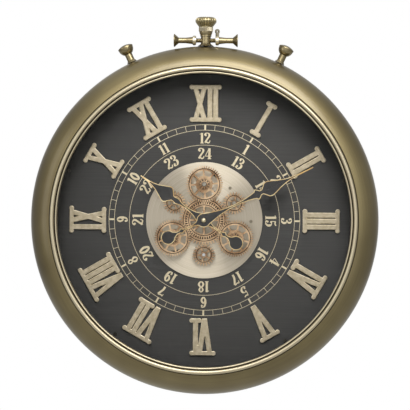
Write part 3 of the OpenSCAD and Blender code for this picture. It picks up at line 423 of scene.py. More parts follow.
def from_axis(tree):
    """The way from the clock's axis to a point, and its length in metres."""
    at = put(tree, "TexCoord", out="Object")
    flat = put(tree, "VectorMath", (at, (1, 0, 1)), operation="MULTIPLY")
    return flat, put(tree, "VectorMath", (flat,), out="Value", operation="LENGTH")


def streaks(tree, length, width):
    """A pattern of fine lines round the clock's axis, length and width in mm. A real tool mark is a
    few hundredths of a millimetre wide, so they are drawn coarser, or none would show."""
    flat, out = from_axis(tree)
    way = put(tree, "VectorMath", (flat,), operation="NORMALIZE")
    split = put(tree, "SeparateXYZ", (way,), out=None)
    around = [
        put(tree, "Math", (split[axis], CASE_R / length), operation="MULTIPLY") for axis in "XZ"
    ]
    depth = put(tree, "SeparateXYZ", (put(tree, "TexCoord", out="Object"),), out="Y")
    across = put(tree, "Math", (out, depth), operation="SUBTRACT")
    rings = put(tree, "Math", (across, 1 / (width * MM)), operation="MULTIPLY")
    where = put(tree, "CombineXYZ", (*around, rings))
    return put(tree, "TexNoise", {"Vector": where, "Scale": 1.0, "Detail": 2.0})


def antique_brass_spun():
    """Spun brass sheet, antiqued and lacquered: a satin olive gold with faint lines round the rim
    and cloudy patches where the patina was rubbed back."""
    material, tree, shader = finish(
        "antique_brass_spun", Metallic=1.0, Coat_Weight=1.0, Coat_Roughness=0.28
    )
    body = blended(tree, mottling(tree, 70), 0.35, 0.65, "#675a34", "#867951")
    line = streaks(tree, 90, 0.9)
    lead(
        tree, shader,
        Base_Color=blended(tree, line, 0.3, 0.75, body, "#5a4d30", 0.35),
        Roughness=put(tree, "MapRange", (line, 0.2, 0.8, 0.44, 0.54)),
        Normal=put(tree, "Bump", {"Height": line, "Distance": 0.02 * MM}),
    )
    return material


def antique_brass_cast(
    name="antique_brass_cast", raised="#8f8260", worn="#7c6f4e", patina_and_shade="#1f180d", reach=1.6,
    rough=0.22,
):
    """Small cast and turned brass parts, antiqued and mottled. They darken in recesses and near
    other parts: partly the patina in their hollows, partly painted shade.
    """
    material, tree, shader = finish(name, Metallic=0.95, Coat_Weight=0.5, Coat_Roughness=0.2)
    patch = mottling(tree, 9)
    body = blended(tree, patch, 0.35, 0.7, raised, worn)
    lead(
        tree, shader,
        Base_Color=dark_in_hollows(tree, body, patina_and_shade, reach, 0.35, 0.95),
        Roughness=put(tree, "MapRange", (patch, 0.3, 0.7, rough, rough + 0.08)),
        Normal=put(tree, "Bump", {"Height": mottling(tree, 1.2), "Distance": 0.005 * MM}),
    )
    return material


def polished_bezel_brass():
    """Turned and polished brass ring: pale, with the fine lines of the lathe, and darkened in its
    gap with painted shade.
    """
    material, tree, shader = finish(
        "polished_bezel_brass", Metallic=1.0, Coat_Weight=0.3, Coat_Roughness=0.15
    )
    line = streaks(tree, 120, 0.35)
    body = blended(tree, line, 0.3, 0.7, "#b3a789", "#c9bea3")
    lead(
        tree, shader,
        Base_Color=dark_in_hollows(tree, body, "#2e2514", 3, 0.4, 0.9),
        Roughness=put(tree, "MapRange", (line, 0.2, 0.8, 0.36, 0.46)),
    )
    return material


def charcoal_enamel():
    """Stoved enamel over a plate brushed across: near black, with faint level grain, 80 mm long and
    1.8 mm wide. It is drawn that much coarser than it is, or it would not show."""
    material, tree, shader = finish(
        "charcoal_enamel", Specular_IOR_Level=0.34, Anisotropic=0.9, Anisotropic_Rotation=0.25
    )
    at = put(tree, "TexCoord", out="Object")
    grain_scale = (1 / (80 * MM), 1, 1 / (1.8 * MM))
    grain_at = put(tree, "Mapping", {"Vector": at, "Scale": grain_scale})
    grain = put(tree, "TexNoise", {"Vector": grain_at, "Scale": 1.0, "Detail": 3.0})
    body = blended(tree, grain, 0.3, 0.7, "#1f1e1c", "#2c2b28")
    lead(
        tree, shader,
        Base_Color=blended(tree, mottling(tree, 110), 0.35, 0.7, body, "#2e2d2a", 0.3),
        Roughness=put(tree, "MapRange", (grain, 0.2, 0.8, 0.42, 0.5)),
        Tangent=put(tree, "Tangent", direction_type="RADIAL", axis="Z"),
        Normal=put(tree, "Bump", {"Height": grain, "Distance": 0.003 * MM}),
    )
    return material


def champagne_anodised():
    """Anodised aluminium brushed round its centre, so that light stands on it in two pale fans.
    Round the wheels and screws on it, it darkens to brown: a painted shadow.
    """
    material, tree, shader = finish(
        "champagne_anodised", Metallic=0.97, Roughness=0.3, Anisotropic=0.95,
        Anisotropic_Rotation=0.25,
    )
    body = blended(tree, streaks(tree, 260, 0.35), 0.3, 0.7, "#a99f8d", "#c2b8a6")
    lead(
        tree, shader,
        Base_Color=dark_in_hollows(tree, body, "#453524", 4, 0.45, 0.95),
        Tangent=put(tree, "Tangent", direction_type="RADIAL", axis="Y"),
    )
    return material


def gilt_ink():
    """Printed metallic ink: warm cream gold, slightly uneven."""
    material, tree, shader = finish("gilt_ink", Metallic=0.8, Roughness=0.42)
    body = blended(tree, mottling(tree, 2), 0.3, 0.7, "#b9ac8e", "#cfc3a6")
    lead(tree, shader, Base_Color=body)
    return material


def silver_gilt(name, light, dark, rough):
    """Cast numerals, painted silver gilt: satin and mottled. The copy for their sloping edges is
    paler, a painted highlight.
    """
    material, tree, shader = finish(name, Metallic=0.7, Coat_Weight=0.2, Coat_Roughness=0.3)
    spot = mottling(tree, 2.5)
    lead(
        tree, shader,
        Base_Color=blended(tree, spot, 0.35, 0.65, dark, light),
        Roughness=put(tree, "MapRange", (spot, 0.3, 0.7, rough, rough + 0.12)),
        Normal=put(tree, "Bump", {"Height": mottling(tree, 0.8), "Distance": 0.04 * MM}),
    )
    return material


def rose_gold_plate(name="rose_gold_plate", painted_shade_within=0):
    """Stamped wheels, plated rose gold: warm and mottled, darkened with painted shade in the
    corners and near other parts and, if asked, within a radius in mm from the clock's axis."""
    material, tree, shader = finish(name, Metallic=1.0, Coat_Weight=0.2, Coat_Roughness=0.2)
    spot = mottling(tree, 9)
    body = blended(tree, spot, 0.38, 0.62, "#957657", "#d4b692")
    # Within that radius the wheel is darkened with painted shade, where the front wheel's teeth
    # stand over it
    if painted_shade_within:
        near, far = (painted_shade_within - 0.1) * MM, (painted_shade_within + 0.1) * MM
        body = blended(tree, from_axis(tree)[1], near, far, "#2d1a0e", body)
    lead(
        tree, shader,
        Base_Color=dark_in_hollows(tree, body, "#2c1a0f", 4, 0.3, 0.95),
        Roughness=put(tree, "MapRange", (spot, 0.3, 0.7, 0.22, 0.32)),
    )
    return material


def plain(name, first, second, size, metallic, rough, relief=0.0):
    """A finish mottled between two colours, with its grain size in mm."""
    material, tree, shader = finish(name, Metallic=metallic)
    spot = mottling(tree, size)
    lead(
        tree, shader,
        Base_Color=blended(tree, spot, 0.35, 0.65, first, second),
        Roughness=put(tree, "MapRange", (spot, 0.3, 0.7, rough, rough + 0.1)),
    )
    if relief:
        height = mottling(tree, size / 3)
        lead(tree, shader, Normal=put(tree, "Bump", {"Height": height, "Distance": relief * MM}))
    return material


def clear_glass():
    """Float glass with a coat against reflections. Only sight bends in it: light passes straight,
    so that the dial is lit evenly."""
    material, tree, shader = finish(
        "coated_float_glass", Transmission_Weight=1.0, Roughness=0.0, IOR=1.45,
        Base_Color=linear("#ffffff"), Specular_Tint=linear("#000000"),
    )
    rays = put(tree, "LightPath", out=None)
    light = rays["Is Shadow Ray"]
    for ray in ("Is Diffuse Ray", "Is Glossy Ray"):
        light = put(tree, "Math", (light, rays[ray]), operation="MAXIMUM")
    both = put(tree, "MixShader", (light, shader.outputs[0], put(tree, "BsdfTransparent")))
    tree.links.new(both, tree.nodes["Material Output"].inputs["Surface"])
    return material


SPUN = antique_brass_spun()
CAST = antique_brass_cast()
BEZEL = polished_bezel_brass()
# The knurled band: satin between its fine cuts, which darken with patina and painted shade
KNURL = antique_brass_cast("knurled_brass", "#bdb49e", "#aca38c", "#5f543c", 0.6, 0.42)
# The collars: the palest brass, polished, with patina and painted shade in their hollows
COLLAR = antique_brass_cast("pale_brass_cast", "#cbc3ac", "#bbb298", "#544930", 0.4, 0.26)
# The knob: near black between its bright flutes, partly patina and partly painted shade
FLUTED = antique_brass_cast("fluted_brass", "#a89b76", "#93865f", "#120d06", 2.6, 0.26)
ENAMEL = charcoal_enamel()
CHAMPAGNE = champagne_anodised()
INK = gilt_ink()
NUMERAL_FACE = silver_gilt("silver_gilt_face", "#b0a48c", "#998d74", 0.42)
# The sloping edges and sides of the numerals: paler, a painted highlight
NUMERAL_PAINTED_HIGHLIGHT = silver_gilt("silver_gilt_painted_highlight", "#e7dbc1", "#c8bb9c", 0.3)
ROSE = rose_gold_plate()
# The rear wheel's face, darkened under the front wheel's teeth with painted shade
PAINTED_SHADE_RING = rose_gold_plate("painted_shade_ring", FRONT_TOOTH_TIP)
# Dark brown for the turned grooves of the wheels and the broken edges of the wheels and posts. In
# the grooves it is partly browned metal, where the plating was rubbed away, and partly painted
# shade; along the broken edges it is painted shade, drawn as dark outlines
BROWNED_AND_SHADED = plain("browned_and_shaded_lines", "#20130b", "#2e1c11", 2, 0.6, 0.5)
# Glossy black enamel on the hands
HAND_BLACK = plain("black_hand_enamel", "#242322", "#2e2d2b", 8, 0.2, 0.28)
# Gilt line that edges the hands
HAND_GILT = plain("gilt_edge", "#c9a66f", "#ead7a8", 6, 0.9, 0.28)
# Pale gilt of the cap on the hands
CAP = plain("pale_gilt", "#dccfa9", "#e4d9bb", 4, 0.8, 0.3)
# Zinc plated steel, grey with a soft spangle
ZINC = plain("zinc_plated_steel", "#a9abad", "#bcbdbf", 3, 1.0, 0.32)
# Turned steel of the post heads, warm grey
STEEL = plain("turned_steel", "#918b80", "#a49e92", 2, 1.0, 0.28)
# Browned steel of the two screws on the disc
BROWNED = plain("browned_steel", "#6e6757", "#7d7666", 1.5, 0.95, 0.35)
# Blackened steel of the dial screws
SCREW = plain("blackened_steel", "#3a3732", "#4a463f", 1.5, 0.9, 0.38)
# Powder coat: black, with the pebbled skin of baked powder, drawn coarser than it is, to show
POWDER = plain("black_powder_coat", "#151514", "#1c1c1b", 2.4, 0.0, 0.55, relief=0.08)
# Moulded ABS: black, with a spark-eroded grain, drawn coarser than it is, to show
ABS = plain("moulded_black_abs", "#151516", "#1b1b1c", 1.5, 0.0, 0.45, relief=0.03)
# Natural acetal of the small wheels: milky and a little waxy
ACETAL = plain("natural_acetal", "#dcd8cc", "#e4e0d5", 4, 0.0, 0.35)
# Turned brass of the movement: clean yellow metal
BRASS = plain("turned_brass", "#b8984f", "#c8a95e", 3, 1.0, 0.25)
# Matt black rubber
RUBBER = plain("black_rubber", "#101010", "#181818", 2, 0.0, 0.7, relief=0.03)
GLASS = clear_glass()
# Shrunk film round a cell, dark green with a faint sheen
SLEEVE = plain("cell_sleeve", "#2f4f3a", "#33553f", 20, 0.3, 0.3)

# Finishes of the CAD nodes that are shown as they are

FINISHES = {
    ENAMEL: ["dial_plate"],
    CHAMPAGNE: ["centre_plate"],
    ZINC: ["battery_contacts", "minute_shaft", "output_shaft", "drive_motor"],
    POWDER: ["dial_ring"],
    ACETAL: ["motion_wheel", "reduction_wheel"],
    BRASS: ["movement_bushing", "hour_tube", "motor_pinion"],
    RUBBER: ["glass_gasket"],
    GLASS: ["glass"],
}
for material, names in FINISHES.items():
    for name in names:
        node = NODES[name]
        if not node.material_slots:
            node.data.materials.append(material)
        for holder in node.material_slots:
            holder.material = material

# Case and bezel


def case():
    """The roll with its rear rim and its inner flange, spun in one."""

    def angle_at(r, roll_r):
        """The angle on a roll at a distance from the clock's axis, in degrees."""
        return math.degrees(math.acos((r - ROLL_AT) / roll_r))

    rim_out = RIM_R + RIM_W
    inner = ROLL_R - ROLL_WALL
    lip_turn = angle_at(GROOVE_R, ROLL_R) - LIP_TURN
    lip_z = ROLL_Z + math.sqrt(ROLL_R**2 - (GROOVE_R - ROLL_AT) ** 2) - CASE_EDGE - LIP_DROP
    section = [
        (RIM_R, 0), *arc(rim_out - CASE_EDGE, CASE_EDGE, CASE_EDGE, -90, 0, 3),
        *arc(ROLL_AT, ROLL_Z, ROLL_R, -angle_at(rim_out, ROLL_R), lip_turn, 56),
        *arc(GROOVE_R + CASE_EDGE, lip_z, CASE_EDGE, 80, 180, 4),
        (GROOVE_R, SEAT_Z + CASE_EDGE), (GROOVE_R - CASE_EDGE, SEAT_Z), (GROOVE_R - SEAT_W, SEAT_Z),
        (GROOVE_R - SEAT_W, SEAT_Z - SEAT_T), (RIM_R, SEAT_Z - SEAT_T),
        *arc(ROLL_AT, ROLL_Z, inner, angle_at(RIM_R, inner), -angle_at(rim_out, inner), 32),
        (rim_out, REBATE_Z + ROLL_WALL), (GROOVE_R - REBATE_IN, REBATE_Z + ROLL_WALL),
        (GROOVE_R - REBATE_IN, REBATE_Z), (RIM_R, REBATE_Z),
    ]
    piece = turned("case_roll", section)
    stand(piece)
    stand_for(piece, "case_shell", SPUN)


def bezel():
    """The ring in front of the glass: outer bead, a narrow gap and the inner lip."""
    top = GLASS_TOP + BEZEL_H
    inner = BEZEL_R - BEZEL_W
    gap_z = top - GAP_DEEP
    bead = arc(BEZEL_R - BEAD_IN, top + BEAD_TOP - BEAD_R, BEAD_R, -28, 206, 36)
    section = [
        (BEZEL_R, GLASS_TOP), (BEZEL_R, top - BEZEL_EDGE), (BEZEL_R - BEZEL_EDGE, top), *bead,
        (bead[-1][0], gap_z), (inner + 2 * LIP_R, gap_z),
        *arc(inner + LIP_R, top + LIP_TOP - LIP_R, LIP_R, 0, 180, 14),
        (inner, GLASS_TOP),
    ]
    piece = turned("bezel_bead", section)
    stand(piece)
    stand_for(piece, "bezel_ring", BEZEL)


# Dial print


def printed_ring(r, width):
    """A thin printed circle, r being its outer radius."""
    bpy.ops.mesh.primitive_circle_add(
        vertices=360, radius=r * MM, fill_type="NGON", location=(0, 0, DIAL_Z * MM)
    )
    bpy.ops.object.transform_apply(location=True)
    piece = added("printed_ring")
    edit(piece)
    bpy.ops.mesh.inset(thickness=width * MM)
    bpy.ops.mesh.delete(type="FACE")
    bpy.ops.mesh.select_all(action="SELECT")
    bpy.ops.mesh.extrude_region_move(TRANSFORM_OT_translate={"value": (0, 0, PRINT_T * MM)})
    done()
    return piece


def bar_outline(width, start, end):
    """An upright bar between two distances from the centre."""
    return [(-width / 2, start), (width / 2, start), (width / 2, end), (-width / 2, end)]


def turn_to(piece, angle):
    """Turns a lying piece to a clock angle, in degrees."""
    piece.data.transform(Matrix.Rotation(-math.radians(angle), 4, "Z"))


def track():
    """The minute track: two circles, sixty ticks and twelve broad ones at the hours."""
    parts = [
        printed_ring(TRACK_R, LINE_W), printed_ring(TRACK_R - TRACK_W, LINE_W),
        printed_ring(THIN_CIRCLE_R, LINE_W),
    ]
    for minute in range(60):
        width = TICK_W if minute % 5 else HOUR_TICK_W
        outline = bar_outline(width, TRACK_R - TRACK_W - LINE_W / 2, TRACK_R - LINE_W / 2)
        tick = plate("tick", outline, DIAL_Z, PRINT_T * TICK_LIFT)
        turn_to(tick, 6 * minute)
        parts.append(tick)
    return parts


# Each figure is drawn in strokes: points, then half the pen's width across and upwards.
# All are shares of the figure's height. A dot is one point and its radius.
HEAVY = (0.1, 0.03)
HAIR = (0.032, 0.032)
FIGURES = {
    "0": ([([(0.3, 0.97), (0.1, 0.5), (0.3, 0.03), (0.5, 0.5)], HEAVY, True)], [], 0.6),
    "1": (
        [([(0.23, 0.03), (0.23, 0.5), (0.23, 0.97)], HEAVY, False),
         ([(0.2, 0.94), (0.12, 0.88), (0.03, 0.86)], HAIR, False),
         ([(0.07, 0.03), (0.23, 0.03), (0.39, 0.03)], HAIR, False)], [], 0.42,
    ),
    "2": (
        [([(0.07, 0.74), (0.12, 0.9), (0.28, 0.97), (0.46, 0.86), (0.45, 0.66), (0.28, 0.4),
           (0.08, 0.08)], (0.09, 0.03), False),
         ([(0.06, 0.07), (0.2, 0.12), (0.36, 0.06), (0.48, 0.1), (0.54, 0.27)],
          (0.04, 0.06), False)],
        [((0.14, 0.76), 0.095)], 0.6,
    ),
    "3": (
        [([(0.07, 0.8), (0.14, 0.93), (0.28, 0.97), (0.43, 0.86), (0.42, 0.66), (0.2, 0.53)],
          (0.085, 0.03), False),
         ([(0.2, 0.53), (0.42, 0.46), (0.47, 0.25), (0.33, 0.05), (0.16, 0.04), (0.06, 0.17)],
          HEAVY, False)],
        [((0.14, 0.79), 0.085), ((0.13, 0.2), 0.095)], 0.58,
    ),
    "4": (
        [([(0.4, 0.03), (0.4, 0.5), (0.4, 0.97)], HEAVY, False),
         ([(0.36, 0.93), (0.2, 0.62), (0.03, 0.29)], HAIR, False),
         ([(0.03, 0.27), (0.3, 0.27), (0.6, 0.27)], HAIR, False),
         ([(0.24, 0.03), (0.4, 0.03), (0.56, 0.03)], HAIR, False)], [], 0.62,
    ),
    "5": (
        [([(0.12, 0.46), (0.26, 0.57), (0.44, 0.48), (0.48, 0.26), (0.33, 0.05), (0.16, 0.04),
           (0.06, 0.17)], HEAVY, False),
         ([(0.12, 0.46), (0.12, 0.68), (0.13, 0.93)], HAIR, False),
         ([(0.13, 0.92), (0.25, 0.87), (0.38, 0.88), (0.5, 0.96)], (0.04, 0.06), False)],
        [((0.13, 0.2), 0.09)], 0.58,
    ),
    "6": (
        [([(0.3, 0.59), (0.13, 0.3), (0.3, 0.03), (0.48, 0.3)], (0.09, 0.03), True),
         ([(0.12, 0.25), (0.11, 0.55), (0.2, 0.86), (0.36, 0.97), (0.5, 0.88)],
          (0.09, 0.03), False)],
        [((0.45, 0.81), 0.085)], 0.6,
    ),
    "7": (
        [([(0.05, 0.74), (0.09, 0.93), (0.24, 0.88), (0.38, 0.93), (0.52, 0.95)],
          (0.04, 0.055), False),
         ([(0.52, 0.93), (0.37, 0.62), (0.26, 0.34), (0.25, 0.04)], (0.095, 0.03), False)],
        [], 0.56,
    ),
    "8": (
        [([(0.3, 0.97), (0.14, 0.76), (0.3, 0.53), (0.46, 0.76)], (0.075, 0.03), True),
         ([(0.3, 0.54), (0.1, 0.28), (0.3, 0.03), (0.5, 0.28)], (0.09, 0.03), True)], [], 0.6,
    ),
}
PEN_STEPS = 7


def curve_through(points, closed):
    """A smooth line through points, with its direction at each place."""
    count = len(points)
    line = []
    for i in range(count if closed else count - 1):
        if closed:
            a, b, c, d = (Vector(points[(i + k) % count]) for k in (-1, 0, 1, 2))
        else:
            b, c = Vector(points[i]), Vector(points[i + 1])
            a = Vector(points[i - 1]) if i else 2 * b - c
            d = Vector(points[i + 2]) if i + 2 < count else 2 * c - b
        for step in range(PEN_STEPS):
            t = step / PEN_STEPS
            spot = 0.5 * (
                2 * b + (c - a) * t + (2 * a - 5 * b + 4 * c - d) * t * t
                + (3 * b - a - 3 * c + d) * t**3
            )
            way = 0.5 * (
                (c - a) + 2 * (2 * a - 5 * b + 4 * c - d) * t + 3 * (3 * b - a - 3 * c + d) * t * t
            )
            line.append((spot, way.normalized()))
    if closed:
        line.append(line[0])
    else:
        line.append((Vector(points[-1]), (Vector(points[-1]) - Vector(points[-2])).normalized()))
    return line


def pen_stroke(points, pen, closed, size, lift):
    """A stroke of a pen that is wide across and thin upwards, so that upright parts are heavy."""
    line = curve_through(points, closed)
    bpy.ops.mesh.primitive_grid_add(x_subdivisions=len(line) - 1, y_subdivisions=1, size=size * MM)
    piece = added("pen_stroke")
    row = len(line)
    for i, (spot, way) in enumerate(line):
        across = Vector((-way.y, way.x))
        half = math.hypot(pen[0] * across.x, pen[1] * across.y)
        for side in (0, 1):
            at = spot + across * half * (2 * side - 1)
            piece.data.vertices[side * row + i].co = (at.x * size * MM, at.y * size * MM, 0)
    edit(piece, "VERT")
    bpy.ops.mesh.remove_doubles(threshold=0.001 * MM)
    bpy.ops.mesh.extrude_region_move(
        TRANSFORM_OT_translate={"value": (0, 0, PRINT_T * lift * MM)}
    )
    bpy.ops.mesh.select_all(action="SELECT")
    bpy.ops.mesh.normals_make_consistent(inside=False)
    done()
    return piece


def figure(name, size):
    """One figure of a given height, its foot on the line y = 0."""
    strokes, dots, _ = FIGURES[name]
    parts = [
        pen_stroke(points, pen, closed, size, 1 + STROKE_LIFT * i)
        for i, (points, pen, closed) in enumerate(strokes)
    ]
    for (x, y), r in dots:
        outline = [
            (size * (x + r * math.cos(TURN * i / 20)), size * (y + r * math.sin(TURN * i / 20)))
            for i in range(20)
        ]
        parts.append(plate("dot", outline, 0, PRINT_T * DOT_LIFT))
    return joined(f"figure_{name}", parts)


def figures():
    """The plain hour numbers: 1 to 12 outside the thin circle and 13 to 24 inside it."""
    printed = []
    circles = ((1, OUTER_DIGIT_R, OUTER_DIGIT_H), (13, INNER_DIGIT_R, INNER_DIGIT_H))
    for first, radius, size in circles:
        kinds = {name: figure(name, size) for name in FIGURES}
        widths = {name: FIGURES[name][2] * size for name in FIGURES}
        kinds["9"] = twin(kinds["6"], "figure_9")
        widths["9"] = widths["6"]
        middle = Matrix.Translation((widths["6"] / 2 * MM, size / 2 * MM, 0))
        kinds["9"].data.transform(middle @ Matrix.Rotation(TURN / 2, 4, "Z") @ middle.inverted())
        gap = DIGIT_GAP_SHARE * size
        for hour in range(first, first + 12):
            letters = str(hour)
            left = -(sum(widths[n] for n in letters) + gap * (len(letters) - 1)) / 2
            for letter in letters:
                one = twin(kinds[letter], "hour_figure")
                foot = (radius - size / 2) * MM
                one.data.transform(Matrix.Translation((left * MM, foot, DIAL_Z * MM)))
                turn_to(one, 30 * hour)
                printed.append(one)
                left += widths[letter] + gap
        for kind in kinds.values():
            bpy.data.objects.remove(kind)
    return printed


def dial_print():
    piece = joined("dial_print", track() + figures())
    turn_to(piece, PRINT_TURN)
    stand(piece)
    coated(piece, INK)
    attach(piece, BODY_OF["dial_plate"])


# Numerals


def facing(face, height, reach=0.2):
    """True for a face that looks at the viewer from a height in mm above the wall."""
    return face.normal.y < -0.9 and abs(-face.center.y / MM - height) < reach


def numeral(hour):
    """A cast numeral with a flat face and sloping edges, which catch the light. Its sharp notches
    are blunted first, as in a casting."""
    node = f"numeral_{hour:02d}"
    piece = copied(node, f"raised_numeral_{hour:02d}")
    top = corner(node, 1, "z")
    # The sloping edges and the sides take the paler finish, a painted highlight; the flat face
    # inside takes the plain one
    coated(piece, NUMERAL_PAINTED_HIGHLIGHT, NUMERAL_FACE)
    finish_with(
        piece, "BEVEL", width=NOTCH_W * MM, segments=1, offset_type="WIDTH", limit_method="ANGLE",
        angle_limit=math.radians(NOTCH_ANGLE),
    )
    edit(piece, "FACE", lambda f: facing(f, top))
    bpy.ops.transform.translate(value=(0, SLOPE_H * MM, 0))
    bpy.ops.mesh.inset(thickness=SLOPE_W * MM, depth=SLOPE_H * MM)
    piece.active_material_index = 1
    bpy.ops.object.material_slot_assign()
    done()
    chamfer(piece, 0.15, 25)
    stand_for(piece, node)


# Hands


def hand(node, angle):
    """A stamped hand: black enamel sunk inside a gilt edge, which closes up over the thin tip."""
    piece = copied(node, f"gilt_edged_{node}")
    top = corner(node, 1, "z")
    turn = math.radians(angle)
    way = Vector((math.sin(turn), 0, math.cos(turn)))
    reach = max(vertex.co.dot(way) for vertex in piece.data.vertices)
    tip = reach - HAND_TIP * MM
    edit(piece)
    bpy.ops.mesh.bisect(plane_co=way * tip, plane_no=way)
    done()
    coated(piece, HAND_GILT, HAND_BLACK)

    def panel(face):
        start = min(piece.data.vertices[v].co.dot(way) for v in face.vertices)
        return facing(face, top) and start < tip - TIP_MARGIN * MM

    edit(piece, "FACE", panel)
    bpy.ops.mesh.inset(thickness=HAND_EDGE * MM, depth=0)
    bpy.ops.mesh.inset(thickness=HAND_STEP * MM, depth=-HAND_SUNK * MM)
    piece.active_material_index = 1
    bpy.ops.object.material_slot_assign()
    done()
    chamfer(piece, 0.1, 40)
    stand_for(piece, node)


# Gears


def outermost(face):
    """The greatest distance of a face from the clock's axis, in mm."""
    spots = [face.id_data.vertices[v].co for v in face.vertices]
    return max(math.hypot(spot.x, spot.z) for spot in spots) / MM


def in_groove(top):
    """The test for the groove turned in a wheel whose face lies at a height in mm."""
    return lambda face: facing(face, top - GEAR_GROOVE, GEAR_REACH)


def wheel(node, top):
    """A stamped wheel: rose gold, dark brown in its turned groove, partly browned metal and partly
    painted shade, with painted shade as a dark line along every edge.
    """
    dressed(node, ROSE, 0.36, BROWNED_AND_SHADED, [(BROWNED_AND_SHADED, in_groove(top), True)])


def centre_wheels():
    """The double wheel: the rear one is darkened with painted shade where it shows between the
    front one's teeth.
    """

    def between_teeth(face):
        return facing(face, REAR_GEAR_TOP, GEAR_REACH) and outermost(face) < REAR_TOOTH_FOOT

    grooves = [(BROWNED_AND_SHADED, in_groove(top), True) for top in (REAR_GEAR_TOP, FRONT_GEAR_TOP)]
    dressed("centre_gear", ROSE, 0.2, BROWNED_AND_SHADED, [*grooves, (PAINTED_SHADE_RING, between_teeth, False)])


# Crown


def on_bar(piece):
    """Lays a piece that was spun round the clock's axis along the cross bar."""
    stand_up = Matrix.Rotation(TURN / 4, 4, "X")
    lay = Matrix.Translation((0, BAR_AT * MM, BAR_Z * MM)) @ Matrix.Rotation(TURN / 4, 4, "Y")
    piece.data.transform(stand_up @ lay)


def threaded_rod():
    """The cross bar: a rod with a rolled thread along it."""
    count = int(2 * BAR_HALF / THREAD_PITCH)
    pitch = 2 * BAR_HALF / count
    section = [(0, -BAR_HALF)]
    for i in range(count):
        start = -BAR_HALF + i * pitch
        section.append((THREAD_R - THREAD_DEEP, start))
        section += [(THREAD_R, start + pitch * share) for share in CREST_SHARES]
    section += [(THREAD_R - THREAD_DEEP, BAR_HALF), (0, BAR_HALF)]
    piece = turned("threaded_rod", section, closed=False, steps=THREAD_STEPS)
    on_bar(piece)
    stand_for(piece, "cross_bar", CAST)


def knurled_band():
    """The band under the knob, cut with a diamond knurl."""
    around, rows = KNURLS_AROUND, KNURL_ROWS
    bpy.ops.mesh.primitive_grid_add(x_subdivisions=around, y_subdivisions=rows, size=BAND_R * MM)
    piece = added("knurled_band")
    for i, vertex in enumerate(piece.data.vertices):
        column, row = i % (around + 1), i // (around + 1)
        turn = TURN * (column % around) / around
        edge = row in (0, rows)
        r = BAND_R + (0 if edge or (column + row) % 2 else KNURL_DEEP)
        vertex.co = (
            r * math.sin(turn) * MM, -BAR_Z * MM - r * math.cos(turn) * MM,
            (BAND_FOOT + BAND_H * row / rows) * MM,
        )
    edit(piece, "VERT")
    bpy.ops.mesh.remove_doubles(threshold=0.01 * MM)
    bpy.ops.mesh.normals_make_consistent(inside=False)
    done()
    piece.data.materials.append(KNURL)
    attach(piece, BODY_OF["crown_stem"])


# Cells


def cells():
    """Three cells: a plain printed sleeve that leaves the steel bare at both ends."""

    def bare(face):
        """True for an end or for the nub, on the lying cell and on the two standing ones."""
        lying = abs(face.center.z) < 30 * MM
        along = abs(face.normal.x) if lying else abs(face.normal.z)
        return along > 0.7 or face.area < 2 * MM * MM

    dressed("batteries", SLEEVE, 0.4, paint=[(ZINC, bare, False)], name="sleeved_batteries")


# Camera, light and floor


def camera():
    """Stands where the photographer stood: just above the clock's centre, a little to its right,
    and tilted half a degree."""
    lens = bpy.data.cameras.new("camera")
    lens.sensor_width = 36
    lens.lens = EYE_LENS_MM
    eye = bpy.data.objects.new("camera", lens)
    bpy.context.scene.collection.objects.link(eye)
    eye.location = (EYE_DISTANCE * math.sin(EYE_SIDE), -EYE_DISTANCE * math.cos(EYE_SIDE), EYE_Z)
    level = (Vector(EYE_AIM) - eye.location).to_track_quat("-Z", "Y")
    eye.rotation_euler = (level @ Quaternion((0, 0, 1), EYE_TILT)).to_euler()
    bpy.context.scene.camera = eye


def lamp(name, at, aim, size, power):
    light = bpy.data.lights.new(name, "AREA")
    light.shape = "RECTANGLE"
    light.size, light.size_y = size
    light.energy = power
    holder = bpy.data.objects.new(name, light)
    bpy.context.scene.collection.objects.link(holder)
    holder.location = at
    holder.rotation_euler = (Vector(aim) - Vector(at)).to_track_quat("-Z", "Y").to_euler()


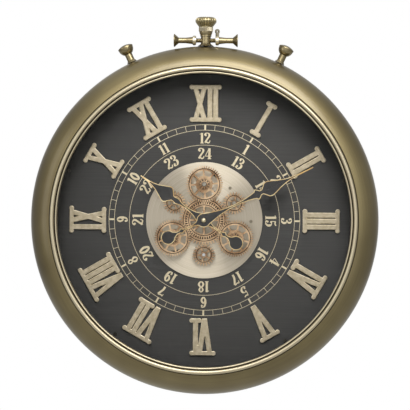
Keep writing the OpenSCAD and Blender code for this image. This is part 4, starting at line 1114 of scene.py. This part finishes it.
def white_room():
    """A white room that lights the clock softly. In reflections its floor, its side walls and its
    back wall are greyer, so that round metal shows its shape."""
    world = bpy.data.worlds.new("white_room")
    bpy.context.scene.world = world
    world.use_nodes = True
    tree = world.node_tree
    background = tree.nodes["Background"]
    path = put(tree, "LightPath", out=None)
    seen = path["Is Camera Ray"]
    for ray in ("Is Glossy Ray", "Is Transmission Ray"):
        seen = put(tree, "Math", (seen, path[ray]), operation="MAXIMUM")
    strength = put(tree, "MapRange", (seen, 0, 1, 0.7, 1.0))
    way = put(tree, "SeparateXYZ", (put(tree, "TexCoord", out="Generated"),), out=None)
    aside = put(tree, "Math", (way["X"],), operation="ABSOLUTE")
    shade = put(tree, "MapRange", (aside, 0.35, 0.85, 1.0, 0.45))
    ground = put(tree, "MapRange", (way["Z"], -0.1, -0.7, 1.0, 0.45))
    back = put(tree, "MapRange", (way["Y"], 0.0, 0.7, 1.0, 0.55))
    for side in (ground, back):
        shade = put(tree, "Math", (shade, side), operation="MULTIPLY")
    plainly = put(tree, "Math", (1.0, path["Is Glossy Ray"]), operation="SUBTRACT")
    shade = put(tree, "Math", (shade, plainly), operation="MAXIMUM")
    level = put(tree, "Math", (strength, shade), operation="MULTIPLY")
    tree.links.new(level, background.inputs["Strength"])
    background.inputs["Color"].default_value = linear("#ffffff")


def floor():
    """The floor of the room, as far below the clock as a wall clock hangs above one."""
    bpy.ops.mesh.primitive_plane_add(size=FLOOR_W, location=(0, 0, FLOOR_Z))
    bpy.ops.object.transform_apply(location=True)
    ground = added("floor")
    edit(ground)
    bpy.ops.mesh.subdivide(number_cuts=3)
    done()
    material, _, _ = finish("pale_floor", Base_Color=linear("#dcdcd9"), Roughness=0.8)
    ground.data.materials.append(material)


case()
bezel()
dial_print()
for hour in range(1, 13):
    numeral(hour)
hand("minute_hand", MINUTE_ANGLE)
hand("hour_hand", HOUR_ANGLE)
dressed("hand_cap", CAP, 0.2)
centre_wheels()
for side in ("top", "right", "left"):
    wheel(f"large_gear_{side}", FRONT_GEAR_TOP)
for side in ("right", "bottom", "left"):
    wheel(f"small_gear_{side}", REAR_GEAR_TOP)
# The posts' broken edges take the dark brown, a painted shade that rings each head
dressed("gear_posts", STEEL, 0.5, BROWNED_AND_SHADED)
dressed("plate_screws", BROWNED, 0.25)
dressed("pillar_screws", SCREW, 0.3)
dressed("movement_nuts", BRASS, 0.5)
threaded_rod()
knurled_band()
dressed("crown_stem", CAST, 0.35)
dressed("crown_knob", FLUTED, 0.25)
dressed("bar_ends", CAST, 0.4)
dressed("bar_collars", COLLAR, 0.4)
dressed("pushers", CAST, 0.4)
for node in ("hanger_plate", "hanger_rivets", "ornament_nuts"):
    dressed(node, ZINC, 0.3)
dressed("back_cover", POWDER, 0.4)
for node in (
    "movement_case", "movement_cover", "drive_case", "drive_cover", "battery_door", "time_set_knob",
):
    dressed(node, ABS, 0.6)
dressed("drive_switch", ACETAL, 0.3)
cells()
camera()
lamp("softbox", **SOFTBOX)
lamp("fill_left", **FILL_LEFT)
white_room()
floor()

bpy.context.scene.view_settings.view_transform = "Standard"
